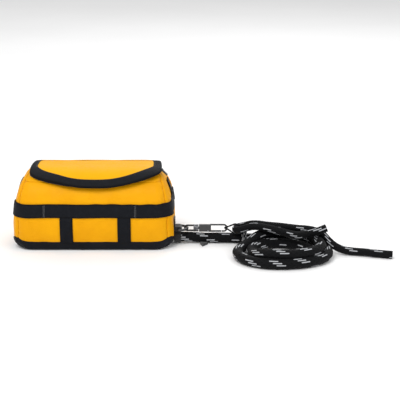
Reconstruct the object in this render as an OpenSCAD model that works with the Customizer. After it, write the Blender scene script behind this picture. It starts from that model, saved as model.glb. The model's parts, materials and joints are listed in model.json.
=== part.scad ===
// Zippered training bumper: a small duffel-shaped pouch with a braided throwing rope.
// Origin: centre of the flat underside. +X towards the rope, -Y towards the front, +Z up.

/* [Bag] */
// Height of the bag's stiffened body, without the flap
body_h = 71.5; // [71:0.5:73]
// Half length of the straight middle of the body
mid_x = 64; // [62:0.5:64]
// Thickness of the coated fabric panels
skin_t = 1.6; // [1.2:0.1:1.6]
// Thickness of the closed-cell foam in the walls
foam_t = 3.4; // [2:0.2:4]
// Height to which the black base wraps up the walls
base_rim = 8.4; // [7:0.2:9]
// Height of the seam between the front or back panel and the mouth panel
mouth_seam = 62; // [60:0.5:63]

/* [Webbing] */
// Width of the webbing
web_w = 13; // [11:0.5:13.5]
// Thickness of the webbing
web_t = 1.3; // [1:0.1:1.4]
// Height of the lower edge of the girth webbing
girth_z = 33.5; // [31:0.5:34]
// Distance of the left front strap from the middle
strap_left_x = 25; // [24:1:34]
// Distance of the right front strap from the middle
strap_right_x = 32; // [24:1:34]

/* [Flap] */
// Half length of the flap, binding included
flap_half = 66; // [64:0.5:66]
// How far the flap's round front reaches beyond its straight sides
flap_nose = 19.8; // [18:0.2:20]
// Width of the flap's black binding
binding_w = 8; // [6:0.5:8]
// Thickness of the foam under the flap
flap_foam_t = 2.2; // [1:0.1:2.2]

/* [Snap hook] */
// Length of the hook's barrel
barrel_l = 12; // [11:0.5:12]
// Radius of the wire of the hook's bow
bow_r = 0.9; // [0.7:0.1:0.9]
// Inner and outer bend of the bow, at the middle of the wire
bow_bend = 3.3; // [3:0.1:3.3]

/* [Rope] */
// Diameter of the main rope
rope_d = 10; // [9:0.5:10]
// Diameter of the lighter rope with two free ends
line_d = 7.4; // [6:0.2:7.4]
// Radius of the coil's lower turn, at the middle of the rope
coil_r = 42; // [42:0.5:43]
// Radius of the coil's upper turn, at the middle of the rope
coil_upper_r = 36; // [35.5:0.5:36]

/* [Hidden] */

// Cross-section of the body: belly arc, shoulder arc and corner arc, mirrored front to back
belly_r = 81;
belly_y = 38.5;
belly_z = 24;
shoulder_r = 29.6;
shoulder_y = -9.7;
shoulder_z = body_h - shoulder_r;
shoulder_deg = 68;
belly_rise = 28;
corner_r = 7;
corner_y = -33.6;
arc_n = 12;

// Domed ends: three stations beyond the straight middle, each smaller than the one before
near_x = 6;
near_in = 3.5;
middle_x = 12;
middle_half_y = 34;
middle_z = [3, 46];
middle_r = 12;
tip_half_y = 24;
tip_z = [7, 34];
tip_r = 10;

// Reach of the cutting boxes and prisms, beyond the bag on every side
reach = [90, 60, 90];
wall_y = 20;
prism_z = 30;

// Layers over the body, as offsets from its surface
gap = 0.1;
flap_in = 4.2;
flap_out = 5.8;
bind_in = 3.9;
bind_out = 6.0;

// Places of the bar tacks along the girth webbing
tack_x = [-47, 43];

// Flap outline in plan
flap_yc = -17;
flap_back = 29.4;
outline_n = 28;

// Flap hinge: a bead under the flap's back edge
hinge_y = 29.4;
hinge_z = 70.1;
bead_r = 1.1;
bead_cut_r = 2.3;
hinge_half = 60;

// Zip: inset of each row from the flap's edge, and where the rows end
row_lower = [5.7, 7.7];
row_upper = [8.0, 10.1];
row_upper_end = 40;
tape_band = [4.5, 9.6];
mouth_inset = 11;
row_back = 22;
row_top = 2.2;
tape_t = 0.6;

// Zip slider on the right-hand straight run, and its pull outside the flap
slider_x = 59.3;
slider_y = -10;
slider_l = 8;
slider_top = 74.7;
pull_x = 68.6;
pull_z = 73.6;
pull_bar_r = 0.6;
pull_l = 7;
pull_droop = 45;

// Tow tab and the chain of ring, leader, ferrule and snap hook, all on one line along X
tow_y = -15;
tow_z = 15.2;
tow_x = 85.5;
end_x = 80;
ring_r = 8;
ring_wire = 1.2;
leader_r = 0.9;
leader_bend = 2.6;
ferrule_x = 99.5;
ferrule_l = 5;
ferrule_r = 3.6;
barrel_x = 105;
barrel_r = 3.9;
barrel_half = 2.6;
bow_x = 129.5;
gate_x = 114;
gate_z = 12.4;
gate_tip = 127.2;
pin_r = 0.6;
spring_lift = 1.2;

// Rope anchor, coil and ropes
anchor_r = 5.8;
anchor_l = 6.8;
anchor_z = 5.9;
coil_x = 183.5;
coil_y = -60;
coil_upper_z = 12.6;
rope_r = rope_d / 2;
lead_route = [
    [87, -15, 5.9], [94, -15, 5.9], [101, -15, 5.6], [110, -14.8, 5.1], [120, -14.6, 5],
    [130, -14.8, 5], [138, -15.2, 5], [145, -16, 5], [152, -17.2, 5]
];
line_route = [
    [228, -54, 27.3], [221, -54.5, 24.6], [213.5, -53.8, 22], [207, -51, 19.5], [200, -46.4, 17.4],
    [192, -41, 17.6], [184, -37.8, 18.9], [174, -34.8, 20.6], [165, -31.4, 21.3], [158, -29.2, 21],
    [152.5, -28, 19.4], [148.5, -27.3, 18], [145, -26.4, 16.8], [142.4, -23.8, 15.9],
    [141.5, -20.3, 15.6], [142.4, -16.8, 15.8], [145, -14.2, 16.2], [148.5, -13.3, 16.6],
    [152.5, -15.6, 18.2], [157, -18.6, 20.2], [165, -23.2, 21.6], [174, -26.8, 21.6],
    [184, -30, 21.5], [194, -34, 21.4], [203, -38, 21.6], [210, -41.4, 22], [217, -44.4, 21.6],
    [224.5, -47.2, 18.9], [231.5, -49.6, 12.2], [238.5, -51.4, 7], [246, -52.8, 4.5], [255, -54.8, 3.7],
    [264, -57.2, 3.7], [273, -60, 3.7], [282, -62.6, 3.7], [291, -64.6, 3.7]
];
loop_r = 0.8;
loop_route = [
    [130.8, -15, 15.2], [131.6, -13.2, 15.3], [133.5, -12.7, 15.6], [137, -14.5, 17.6],
    [141, -18.5, 20.3], [145, -20, 19], [146.4, -20, 15.6], [145, -20, 12.2],
    [141, -20.5, 10.9], [137, -18.5, 12.6], [133.5, -17.3, 14.6], [131.6, -16.8, 15.1]
];
whip_x = 147.2;
whip_l = 6.2;
whip_y = -16.6;
whip_r = 6.2;

// ---- Shapes that repeat ----

// Points of an arc with centre c and radius r, from angle a0 to a1
function arc(c, r, a0, a1, n) = [for (i = [0 : n])
    let (a = a0 + (a1 - a0) * i / n) [c[0] + r * cos(a), c[1] + r * sin(a)]];

// Front half of the cross-section, from the underside to the top, offset o outwards
function front_half(o) = let (low = asin((belly_z - corner_r) / belly_r), high = asin(belly_rise / belly_r))
    concat(
        arc([corner_y, corner_r], corner_r + o, 270, 180 + low, 5),
        arc([belly_y, belly_z], belly_r + o, 180 + low, 180 - high, arc_n),
        arc([shoulder_y, shoulder_z], shoulder_r + o, 90 + shoulder_deg, 90, arc_n)
    );

// Whole cross-section: the front half and its mirror image
function section(o) = let (f = front_half(o), n = len(f))
    concat(f, [for (i = [n - 1 : -1 : 0]) [-f[i][0], f[i][1]]]);

// Outline of the flap in plan, inset k from its edge, ending at y = back
function flap_outline(k, back) = let (a = flap_half - k, b = flap_nose - k)
    concat([[a, back]], [for (i = [0 : outline_n])
        let (t = 180 * i / outline_n) [a * cos(t), flap_yc - b * sin(t)]], [[-a, back]]);

// A prism along X of a YZ outline, from x0 to x1
module along_x(points, x0, x1) {
    translate([x0, 0, 0])
        rotate([90, 0, 90])
            linear_extrude(x1 - x0)
                polygon(points);
}

// A layer over the straight middle of the body, between two offsets
module layer(o0, o1, x0, x1) {
    difference() {
        along_x(section(o1), x0, x1);
        along_x(section(o0), x0 - 1, x1 + 1);
    }
}

// A box from its lowest to its highest corner
module block(low, high) {
    translate(low)
        cube(high - low);
}

// Everything between two heights
module level(z0, z1) {
    block([-reach[0], -reach[1], z0], [reach[0], reach[1], z1]);
}

// One wall's share of a level; side is -1 at the front, 1 at the back
module wall_level(side, z0, z1) {
    block([-reach[0], side > 0 ? wall_y : -reach[1], z0], [reach[0], side > 0 ? reach[1] : -wall_y, z1]);
}

// A rounded rectangle standing in the YZ plane, as a thin slab ending at x
module end_slab(x, half_y, z0, z1, r) {
    translate([x - 0.2, 0, 0])
        rotate([90, 0, 90])
            linear_extrude(0.2)
                polygon(concat(
                    arc([half_y - r, z0 + r], r, -90, 0, 4), arc([half_y - r, z1 - r], r, 0, 90, 4),
                    arc([-half_y + r, z1 - r], r, 90, 180, 4), arc([-half_y + r, z0 + r], r, 180, 270, 4)
                ));
}

// The domed right-hand end of the body, offset o outwards, starting at x0
module dome(o, x0) {
    hull() {
        along_x(section(o), x0, mid_x + 0.2);
        along_x(section(o - near_in), mid_x + near_x - 0.2 + o, mid_x + near_x + o);
        end_slab(mid_x + middle_x + o, middle_half_y + o, middle_z[0] - o, middle_z[1] + o, middle_r);
        end_slab(end_x + o, tip_half_y + o, tip_z[0] - o, tip_z[1] + o, tip_r);
    }
}

// A layer over the domed end, between two offsets
module dome_layer(o0, o1) {
    difference() {
        dome(o1, mid_x);
        dome(o0, mid_x - 1);
    }
}

// A band of the flap's outline between insets k0 and k1, as a tall prism
module outline_band(k0, k1, back) {
    translate([0, 0, prism_z])
        linear_extrude(2 * prism_z)
            difference() {
                polygon(flap_outline(k0, back));
                polygon(flap_outline(k1, back + 1));
            }
}

// A prism of the flap's outline at inset k
module outline_prism(k, back) {
    translate([0, 0, prism_z])
        linear_extrude(2 * prism_z)
            polygon(flap_outline(k, back));
}

// A cylinder along Y centred on p
module rod_y(p, r, l) {
    translate(p)
        rotate([90, 0, 0])
            cylinder(h = l, r = r, center = true, $fn = 48);
}

// A cylinder along X starting at p
module rod_x(p, r, l) {
    translate(p)
        rotate([0, 90, 0])
            cylinder(h = l, r = r, $fn = 48);
}

// Direction of a route at point i
function heading(p, i, closed) = let (n = len(p),
    a = closed ? p[(i + n - 1) % n] : p[max(i - 1, 0)],
    b = closed ? p[(i + 1) % n] : p[min(i + 1, n - 1)]) (b - a) / norm(b - a);

// Ring of points round a route at point i, with one axis kept level
function ring(p, i, r, n, closed) = let (t = heading(p, i, closed),
    s = cross(t, [0.13, 0.21, 0.97]), u = s / norm(s), v = cross(u, t))
    [for (k = [0 : n - 1]) p[i] + r * (u * cos(360 * k / n) + v * sin(360 * k / n))];

// Two triangles between four neighbouring points of two rings
function band_faces(a, b, c, d) = [[a, b, c], [a, c, d]];

// A round tube swept along a route, with flat ends
module tube(p, r, n) {
    m = len(p);
    points = [for (i = [0 : m - 1]) each ring(p, i, r, n, false)];
    sides = [for (i = [0 : m - 2], k = [0 : n - 1]) each
        band_faces(i * n + k, i * n + (k + 1) % n, (i + 1) * n + (k + 1) % n, (i + 1) * n + k)];
    caps = [[for (k = [n - 1 : -1 : 0]) k], [for (k = [0 : n - 1]) (m - 1) * n + k]];
    polyhedron(points, concat(sides, caps), convexity = 6);
}

// A round tube swept along a closed route
module closed_tube(p, r, n) {
    m = len(p);
    points = [for (i = [0 : m - 1]) each ring(p, i, r, n, true)];
    sides = [for (i = [0 : m - 1], k = [0 : n - 1], j = [(i + 1) % m]) each
        band_faces(i * n + k, i * n + (k + 1) % n, j * n + (k + 1) % n, j * n + k)];
    polyhedron(points, sides, convexity = 6);
}

// ---- Bag body ----

module base_panel() {
    color([0.14, 0.15, 0.18])
        intersection() {
            union() {
                layer(-skin_t, 0, -mid_x, mid_x);
                dome_layer(-skin_t, 0);
                mirror([1, 0, 0])
                    dome_layer(-skin_t, 0);
            }
            level(0, base_rim);
        }
}

module base_foam() {
    color([0.85, 0.85, 0.82])
        intersection() {
            along_x(section(-skin_t - gap), -mid_x + gap, mid_x - gap);
            level(0, base_rim);
        }
}

// The front or back wall between two heights, and between two offsets
module wall(side, o0, o1, z0, z1) {
    intersection() {
        layer(o0, o1, -mid_x + gap, mid_x - gap);
        wall_level(side, z0, z1);
    }
}

module front_panel() {
    color([0.98, 0.71, 0.05])
        wall(-1, -skin_t, 0, base_rim + gap, mouth_seam);
}

module back_panel() {
    color([0.98, 0.71, 0.05])
        wall(1, -skin_t, 0, base_rim + gap, mouth_seam);
}

module front_foam() {
    color([0.85, 0.85, 0.82])
        wall(-1, -skin_t - gap - foam_t, -skin_t - gap, base_rim + gap, mouth_seam);
}

module back_foam() {
    color([0.85, 0.85, 0.82])
        wall(1, -skin_t - gap - foam_t, -skin_t - gap, base_rim + gap, mouth_seam);
}

module mouth_panel() {
    color([0.98, 0.71, 0.05])
        difference() {
            intersection() {
                layer(-skin_t, 0, -mid_x + gap, mid_x - gap);
                level(mouth_seam + gap, reach[2]);
            }
            outline_prism(mouth_inset, row_back);
        }
}

module end_panel() {
    color([0.98, 0.71, 0.05])
        intersection() {
            dome_layer(-skin_t, 0);
            level(base_rim + gap, reach[2]);
        }
}

module end_panel_right() {
    end_panel();
}

module end_panel_left() {
    mirror([1, 0, 0])
        end_panel();
}

module end_foam() {
    color([0.85, 0.85, 0.82])
        intersection() {
            dome_layer(-skin_t - gap - foam_t, -skin_t - gap);
            block([mid_x, -reach[1], base_rim + gap], [reach[0], reach[1], mouth_seam]);
        }
}

module end_foam_right() {
    end_foam();
}

module end_foam_left() {
    mirror([1, 0, 0])
        end_foam();
}

// ---- Webbing ----

module girth_webbing() {
    color([0.14, 0.15, 0.18])
        intersection() {
            union() {
                layer(gap, gap + web_t, -mid_x, mid_x);
                dome_layer(gap, gap + web_t);
                mirror([1, 0, 0])
                    dome_layer(gap, gap + web_t);
            }
            level(girth_z, girth_z + web_w);
        }
}

// A strap that stands on the base and ends under the girth webbing
module wall_strap(x, side) {
    color([0.14, 0.15, 0.18])
        intersection() {
            layer(gap, gap + web_t, x - web_w / 2, x + web_w / 2);
            wall_level(side, base_rim + gap, girth_z - gap);
        }
}

module front_strap_left() {
    wall_strap(-strap_left_x, -1);
}

module front_strap_right() {
    wall_strap(strap_right_x, -1);
}

module back_strap_left() {
    wall_strap(-strap_left_x, 1);
}

module back_strap_right() {
    wall_strap(strap_right_x, 1);
}

module end_strap() {
    color([0.14, 0.15, 0.18])
        intersection() {
            dome_layer(gap, gap + web_t);
            block([mid_x + 1, -web_w / 2, girth_z + web_w + gap], [reach[0], web_w / 2, mouth_seam]);
        }
}

module end_strap_right() {
    end_strap();
}

module end_strap_left() {
    mirror([1, 0, 0])
        end_strap();
}

module bar_tacks() {
    half = 0.8;
    tack_t = 0.3;
    margin = 1.5;
    color([0.25, 0.26, 0.3])
        for (x = tack_x, side = [-1, 1])
            intersection() {
                layer(gap + web_t, gap + web_t + tack_t, x - half, x + half);
                wall_level(side, girth_z + margin, girth_z + web_w - margin);
            }
}

// ---- Flap ----

// A fabric ramp from the back shoulder to the bead that the flap turns on
module flap_hinge_strip() {
    centre = [-shoulder_y, shoulder_z];
    low_deg = 33;
    sweep_deg = 21;
    rise = 4;
    strip_t = 1.1;
    steps = 6;
    ramp = [for (i = [0 : steps]) let (a = low_deg + sweep_deg * i / steps)
        [cos(a), sin(a), shoulder_r + 2 * gap + rise * i / steps]];
    low = [for (q = ramp) centre + q[2] * [q[0], q[1]]];
    high = [for (i = [steps : -1 : 0]) let (q = ramp[i]) centre + (q[2] + strip_t) * [q[0], q[1]]];
    color([0.98, 0.71, 0.05])
        union() {
            difference() {
                along_x(concat(low, high), -hinge_half, hinge_half);
                rod_x([-70, hinge_y, hinge_z], bead_r, 140);
            }
            rod_x([-hinge_half, hinge_y, hinge_z], bead_r, 2 * hinge_half);
        }
}

module flap_panel() {
    color([1, 0.76, 0.06])
        difference() {
            intersection() {
                layer(flap_in, flap_out, -flap_half, flap_half);
                outline_prism(binding_w + gap, flap_back);
            }
            rod_x([-70, hinge_y, hinge_z], bead_cut_r, 140);
        }
}

module flap_binding() {
    color([0.14, 0.15, 0.18])
        difference() {
            intersection() {
                layer(bind_in, bind_out, -flap_half - 1, flap_half + 1);
                outline_band(0, binding_w, flap_back);
            }
            rod_x([-70, hinge_y, hinge_z], bead_cut_r, 140);
        }
}

module flap_foam() {
    color([0.85, 0.85, 0.82])
        intersection() {
            layer(flap_in - gap - flap_foam_t, flap_in - gap, -flap_half, flap_half);
            outline_prism(mouth_inset + 0.6, row_back - 2);
        }
}

// ---- Zip ----

module zip_tape_lower() {
    color([0.1, 0.1, 0.12])
        intersection() {
            layer(gap, gap + tape_t, -flap_half, flap_half);
            outline_band(tape_band[0], tape_band[1], row_back + 1);
        }
}

module zip_coil_lower() {
    color([0.1, 0.1, 0.12])
        intersection() {
            layer(gap + tape_t, row_top, -flap_half, flap_half);
            outline_band(row_lower[0], row_lower[1], row_back - 2);
        }
}

// The flap's own row stops where the slider is parked
module zip_coil_upper() {
    color([0.1, 0.1, 0.12])
        difference() {
            intersection() {
                layer(gap + tape_t + 0.2, row_top, -flap_half, flap_half);
                outline_band(row_upper[0], row_upper[1], row_back - 6);
            }
            block([row_upper_end, flap_yc, prism_z], reach);
        }
}

module zip_tape_upper() {
    color([0.1, 0.1, 0.12])
        difference() {
            intersection() {
                layer(row_top, flap_in - gap, -flap_half, flap_half);
                outline_band(row_upper[1] - tape_t, row_upper[1], row_back - 6);
            }
            block([row_upper_end, flap_yc, prism_z], reach);
        }
}

module zip_stops() {
    stop_z = 71.45;
    color([0.7, 0.71, 0.72])
        for (side = [-1, 1])
            translate([side * (flap_half - (row_lower[0] + row_lower[1]) / 2), row_back - 1, stop_z])
                cube([2.6, 1.6, 2], center = true);
}

module zip_slider() {
    half = 2.2;
    cavity = 1.25;
    low = 72.5;
    cavity_top = 73.9;
    fork_y = 2.8;
    fork_r = 0.6;
    color([0.12, 0.12, 0.14])
        union() {
            difference() {
                block([slider_x - half, slider_y - slider_l / 2, low],
                      [slider_x + half, slider_y + slider_l / 2, slider_top]);
                block([slider_x - cavity, slider_y - slider_l, low - 2],
                      [slider_x + cavity, slider_y + slider_l, cavity_top]);
            }
            for (side = [-1, 1])
                block([slider_x + half - 0.2, slider_y + side * fork_y - fork_r, pull_z - fork_r],
                      [pull_x + 0.8, slider_y + side * fork_y + fork_r, pull_z + fork_r]);
            rod_y([pull_x, slider_y, pull_z], pull_bar_r, 5);
        }
}

module zip_pull() {
    knuckle_r = 1.3;
    half_w = 1.8;
    half_t = 0.7;
    color([0.12, 0.12, 0.14])
        translate([pull_x, slider_y, pull_z])
            rotate([0, pull_droop, 0])
                difference() {
                    union() {
                        rod_y([0, 0, 0], knuckle_r, 2 * half_w);
                        block([0, -half_w, -half_t], [pull_l, half_w, half_t]);
                    }
                    rod_y([0, 0, 0], pull_bar_r + 0.08, 6);
                }
}

// ---- Tow tab, ring, leader and snap hook ----

module tow_tab() {
    eye_r = 2.6;
    patch_t = 1.4;
    patch_half = 6.5;
    patch_z = [12.4, 26];
    tab_half = 5.5;
    color([0.14, 0.15, 0.18])
        difference() {
            union() {
                block([end_x + gap, tow_y - patch_half, patch_z[0]],
                      [end_x + patch_t, tow_y + patch_half, patch_z[1]]);
                block([end_x + gap, tow_y - tab_half, tow_z - eye_r],
                      [tow_x, tow_y + tab_half, tow_z + eye_r]);
                rod_y([tow_x, tow_y, tow_z], eye_r, 2 * tab_half);
            }
            rod_y([tow_x, tow_y, tow_z], ring_wire + 0.08, 2 * tab_half + 3);
        }
}

module rope_anchor() {
    color([0.1, 0.1, 0.12])
        rod_x([end_x + 0.2, tow_y, anchor_z], anchor_r, anchor_l);
}

module tow_ring() {
    color([0.5, 0.5, 0.52])
        translate([tow_x, tow_y, tow_z])
            union() {
                rod_y([0, 0, 0], ring_wire, 2 * ring_r);
                rotate([0, 0, -90])
                    rotate_extrude(angle = 180, $fn = 96)
                        translate([ring_r, 0])
                            circle(r = ring_wire, $fn = 48);
            }
}

module leader() {
    bend_x = tow_x + ring_r;
    color([0.45, 0.46, 0.48])
        union() {
            translate([bend_x, tow_y, tow_z])
                rotate([90, -90, 0])
                    rotate_extrude(angle = 180, $fn = 96)
                        translate([leader_bend, 0])
                            circle(r = leader_r, $fn = 32);
            for (side = [-1, 1])
                rod_x([bend_x, tow_y, tow_z + side * leader_bend], leader_r, ferrule_x - bend_x);
        }
}

// Cut and sealed end of the leader's lashing, lying on the ground in front of the rope
module leader_end() {
    color([0.1, 0.1, 0.12])
        linear_extrude(2.4)
            polygon([[106, -20.8], [114, -20.8], [108.4, -28]]);
}

module ferrule() {
    socket_r = 2.4;
    throat_r = 1.5;
    color([0.62, 0.63, 0.65])
        difference() {
            rod_x([ferrule_x, tow_y, tow_z], ferrule_r, ferrule_l);
            rod_x([ferrule_x + 1.2, tow_y, tow_z], socket_r, 2);
            rod_x([ferrule_x + 1, tow_y, tow_z], throat_r, ferrule_l);
        }
}

module hook_body() {
    top = tow_z + bow_bend;
    low = tow_z - bow_bend;
    swivel_x = ferrule_x + 1.4;
    slot = [gate_x - 2.2, barrel_x + barrel_l + 1];
    slot_half = 1.1;
    slot_z = [10, 15.6];
    spring_hole = 1.2;
    color([0.12, 0.12, 0.14])
        difference() {
            union() {
                intersection() {
                    rod_x([barrel_x, tow_y, tow_z], barrel_r, barrel_l);
                    block([barrel_x, tow_y - barrel_half, tow_z - barrel_r],
                          [barrel_x + barrel_l, tow_y + barrel_half, tow_z + barrel_r]);
                }
                rod_x([swivel_x, tow_y, tow_z], 2.2, 1.6);
                rod_x([swivel_x, tow_y, tow_z], 1.45, 5);
                rod_x([barrel_x + barrel_l - 1, tow_y, top], bow_r, bow_x - barrel_x - barrel_l + 1);
                translate([bow_x, tow_y, tow_z])
                    rotate([90, 0, 0])
                        rotate([0, 0, -90])
                            rotate_extrude(angle = 180, $fn = 96)
                                translate([bow_bend, 0])
                                    circle(r = bow_r, $fn = 32);
                rod_x([gate_tip + 0.4, tow_y, low], bow_r, bow_x - gate_tip - 0.4);
            }
            block([slot[0], tow_y - slot_half, slot_z[0]],
                  [slot[1], tow_y + slot_half, slot_z[1]]);
            rod_y([gate_x, tow_y, gate_z], pin_r + 0.02, 8);
            rod_x([gate_x - 7, tow_y, gate_z + spring_lift], spring_hole, 5);
        }
}

module hook_gate() {
    blade_half = 0.9;
    blade_z = [11.2, 12.7];
    color([0.62, 0.63, 0.65])
        difference() {
            union() {
                rod_y([gate_x, tow_y, gate_z], 1.4, 2 * blade_half);
                block([gate_x, tow_y - blade_half, blade_z[0]], [gate_tip, tow_y + blade_half, blade_z[1]]);
            }
            rod_y([gate_x, tow_y, gate_z], pin_r + 0.06, 4);
        }
}

module gate_pin() {
    color([0.7, 0.71, 0.72])
        rod_y([gate_x, tow_y, gate_z], pin_r, 2 * barrel_half);
}

module gate_spring() {
    color([0.7, 0.71, 0.72])
        difference() {
            rod_x([gate_x - 6.8, tow_y, gate_z + spring_lift], 1, 4.4);
            rod_x([gate_x - 7, tow_y, gate_z + spring_lift], 0.6, 5);
        }
}

module hook_loop() {
    color([0.1, 0.1, 0.12])
        closed_tube(loop_route, loop_r, 8);
}

// ---- Ropes ----

module rope_lead() {
    color([0.13, 0.14, 0.17])
        tube(lead_route, rope_r, 10);
}

// Outer shape of both turns: two rings of rope with the groove between them filled
module rope_coil() {
    low = [coil_r, rope_r];
    high = [coil_upper_r, coil_upper_z];
    along = (high - low) / norm(high - low);
    groove = 0.92;
    across = [along[1], -along[0]] * rope_r * groove;
    color([0.13, 0.14, 0.17])
        translate([coil_x, coil_y, 0])
            rotate_extrude($fn = 128)
                union() {
                    translate(low)
                        circle(r = rope_r, $fn = 48);
                    translate(high)
                        circle(r = rope_r, $fn = 48);
                    polygon([low - across, low + across, high + across, high - across]);
                }
}

module rope_whipping() {
    color([0.1, 0.1, 0.12])
        difference() {
            rod_x([whip_x, whip_y, whip_r], whip_r, whip_l);
            rod_x([whip_x - 1, whip_y, rope_r], rope_r + 0.6, whip_l + 2);
        }
}

module rope_line() {
    color([0.13, 0.14, 0.17])
        tube(line_route, line_d / 2, 8);
}

base_panel();
base_foam();
front_panel();
back_panel();
mouth_panel();
end_panel_left();
end_panel_right();
front_foam();
back_foam();
end_foam_left();
end_foam_right();
girth_webbing();
front_strap_left();
front_strap_right();
back_strap_left();
back_strap_right();
end_strap_left();
end_strap_right();
bar_tacks();
flap_hinge_strip();
flap_panel();
flap_binding();
flap_foam();
zip_tape_lower();
zip_coil_lower();
zip_tape_upper();
zip_coil_upper();
zip_stops();
zip_slider();
zip_pull();
tow_tab();
rope_anchor();
tow_ring();
leader();
leader_end();
ferrule();
hook_body();
hook_gate();
gate_pin();
gate_spring();
hook_loop();
rope_lead();
rope_coil();
rope_whipping();
rope_line();
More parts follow.
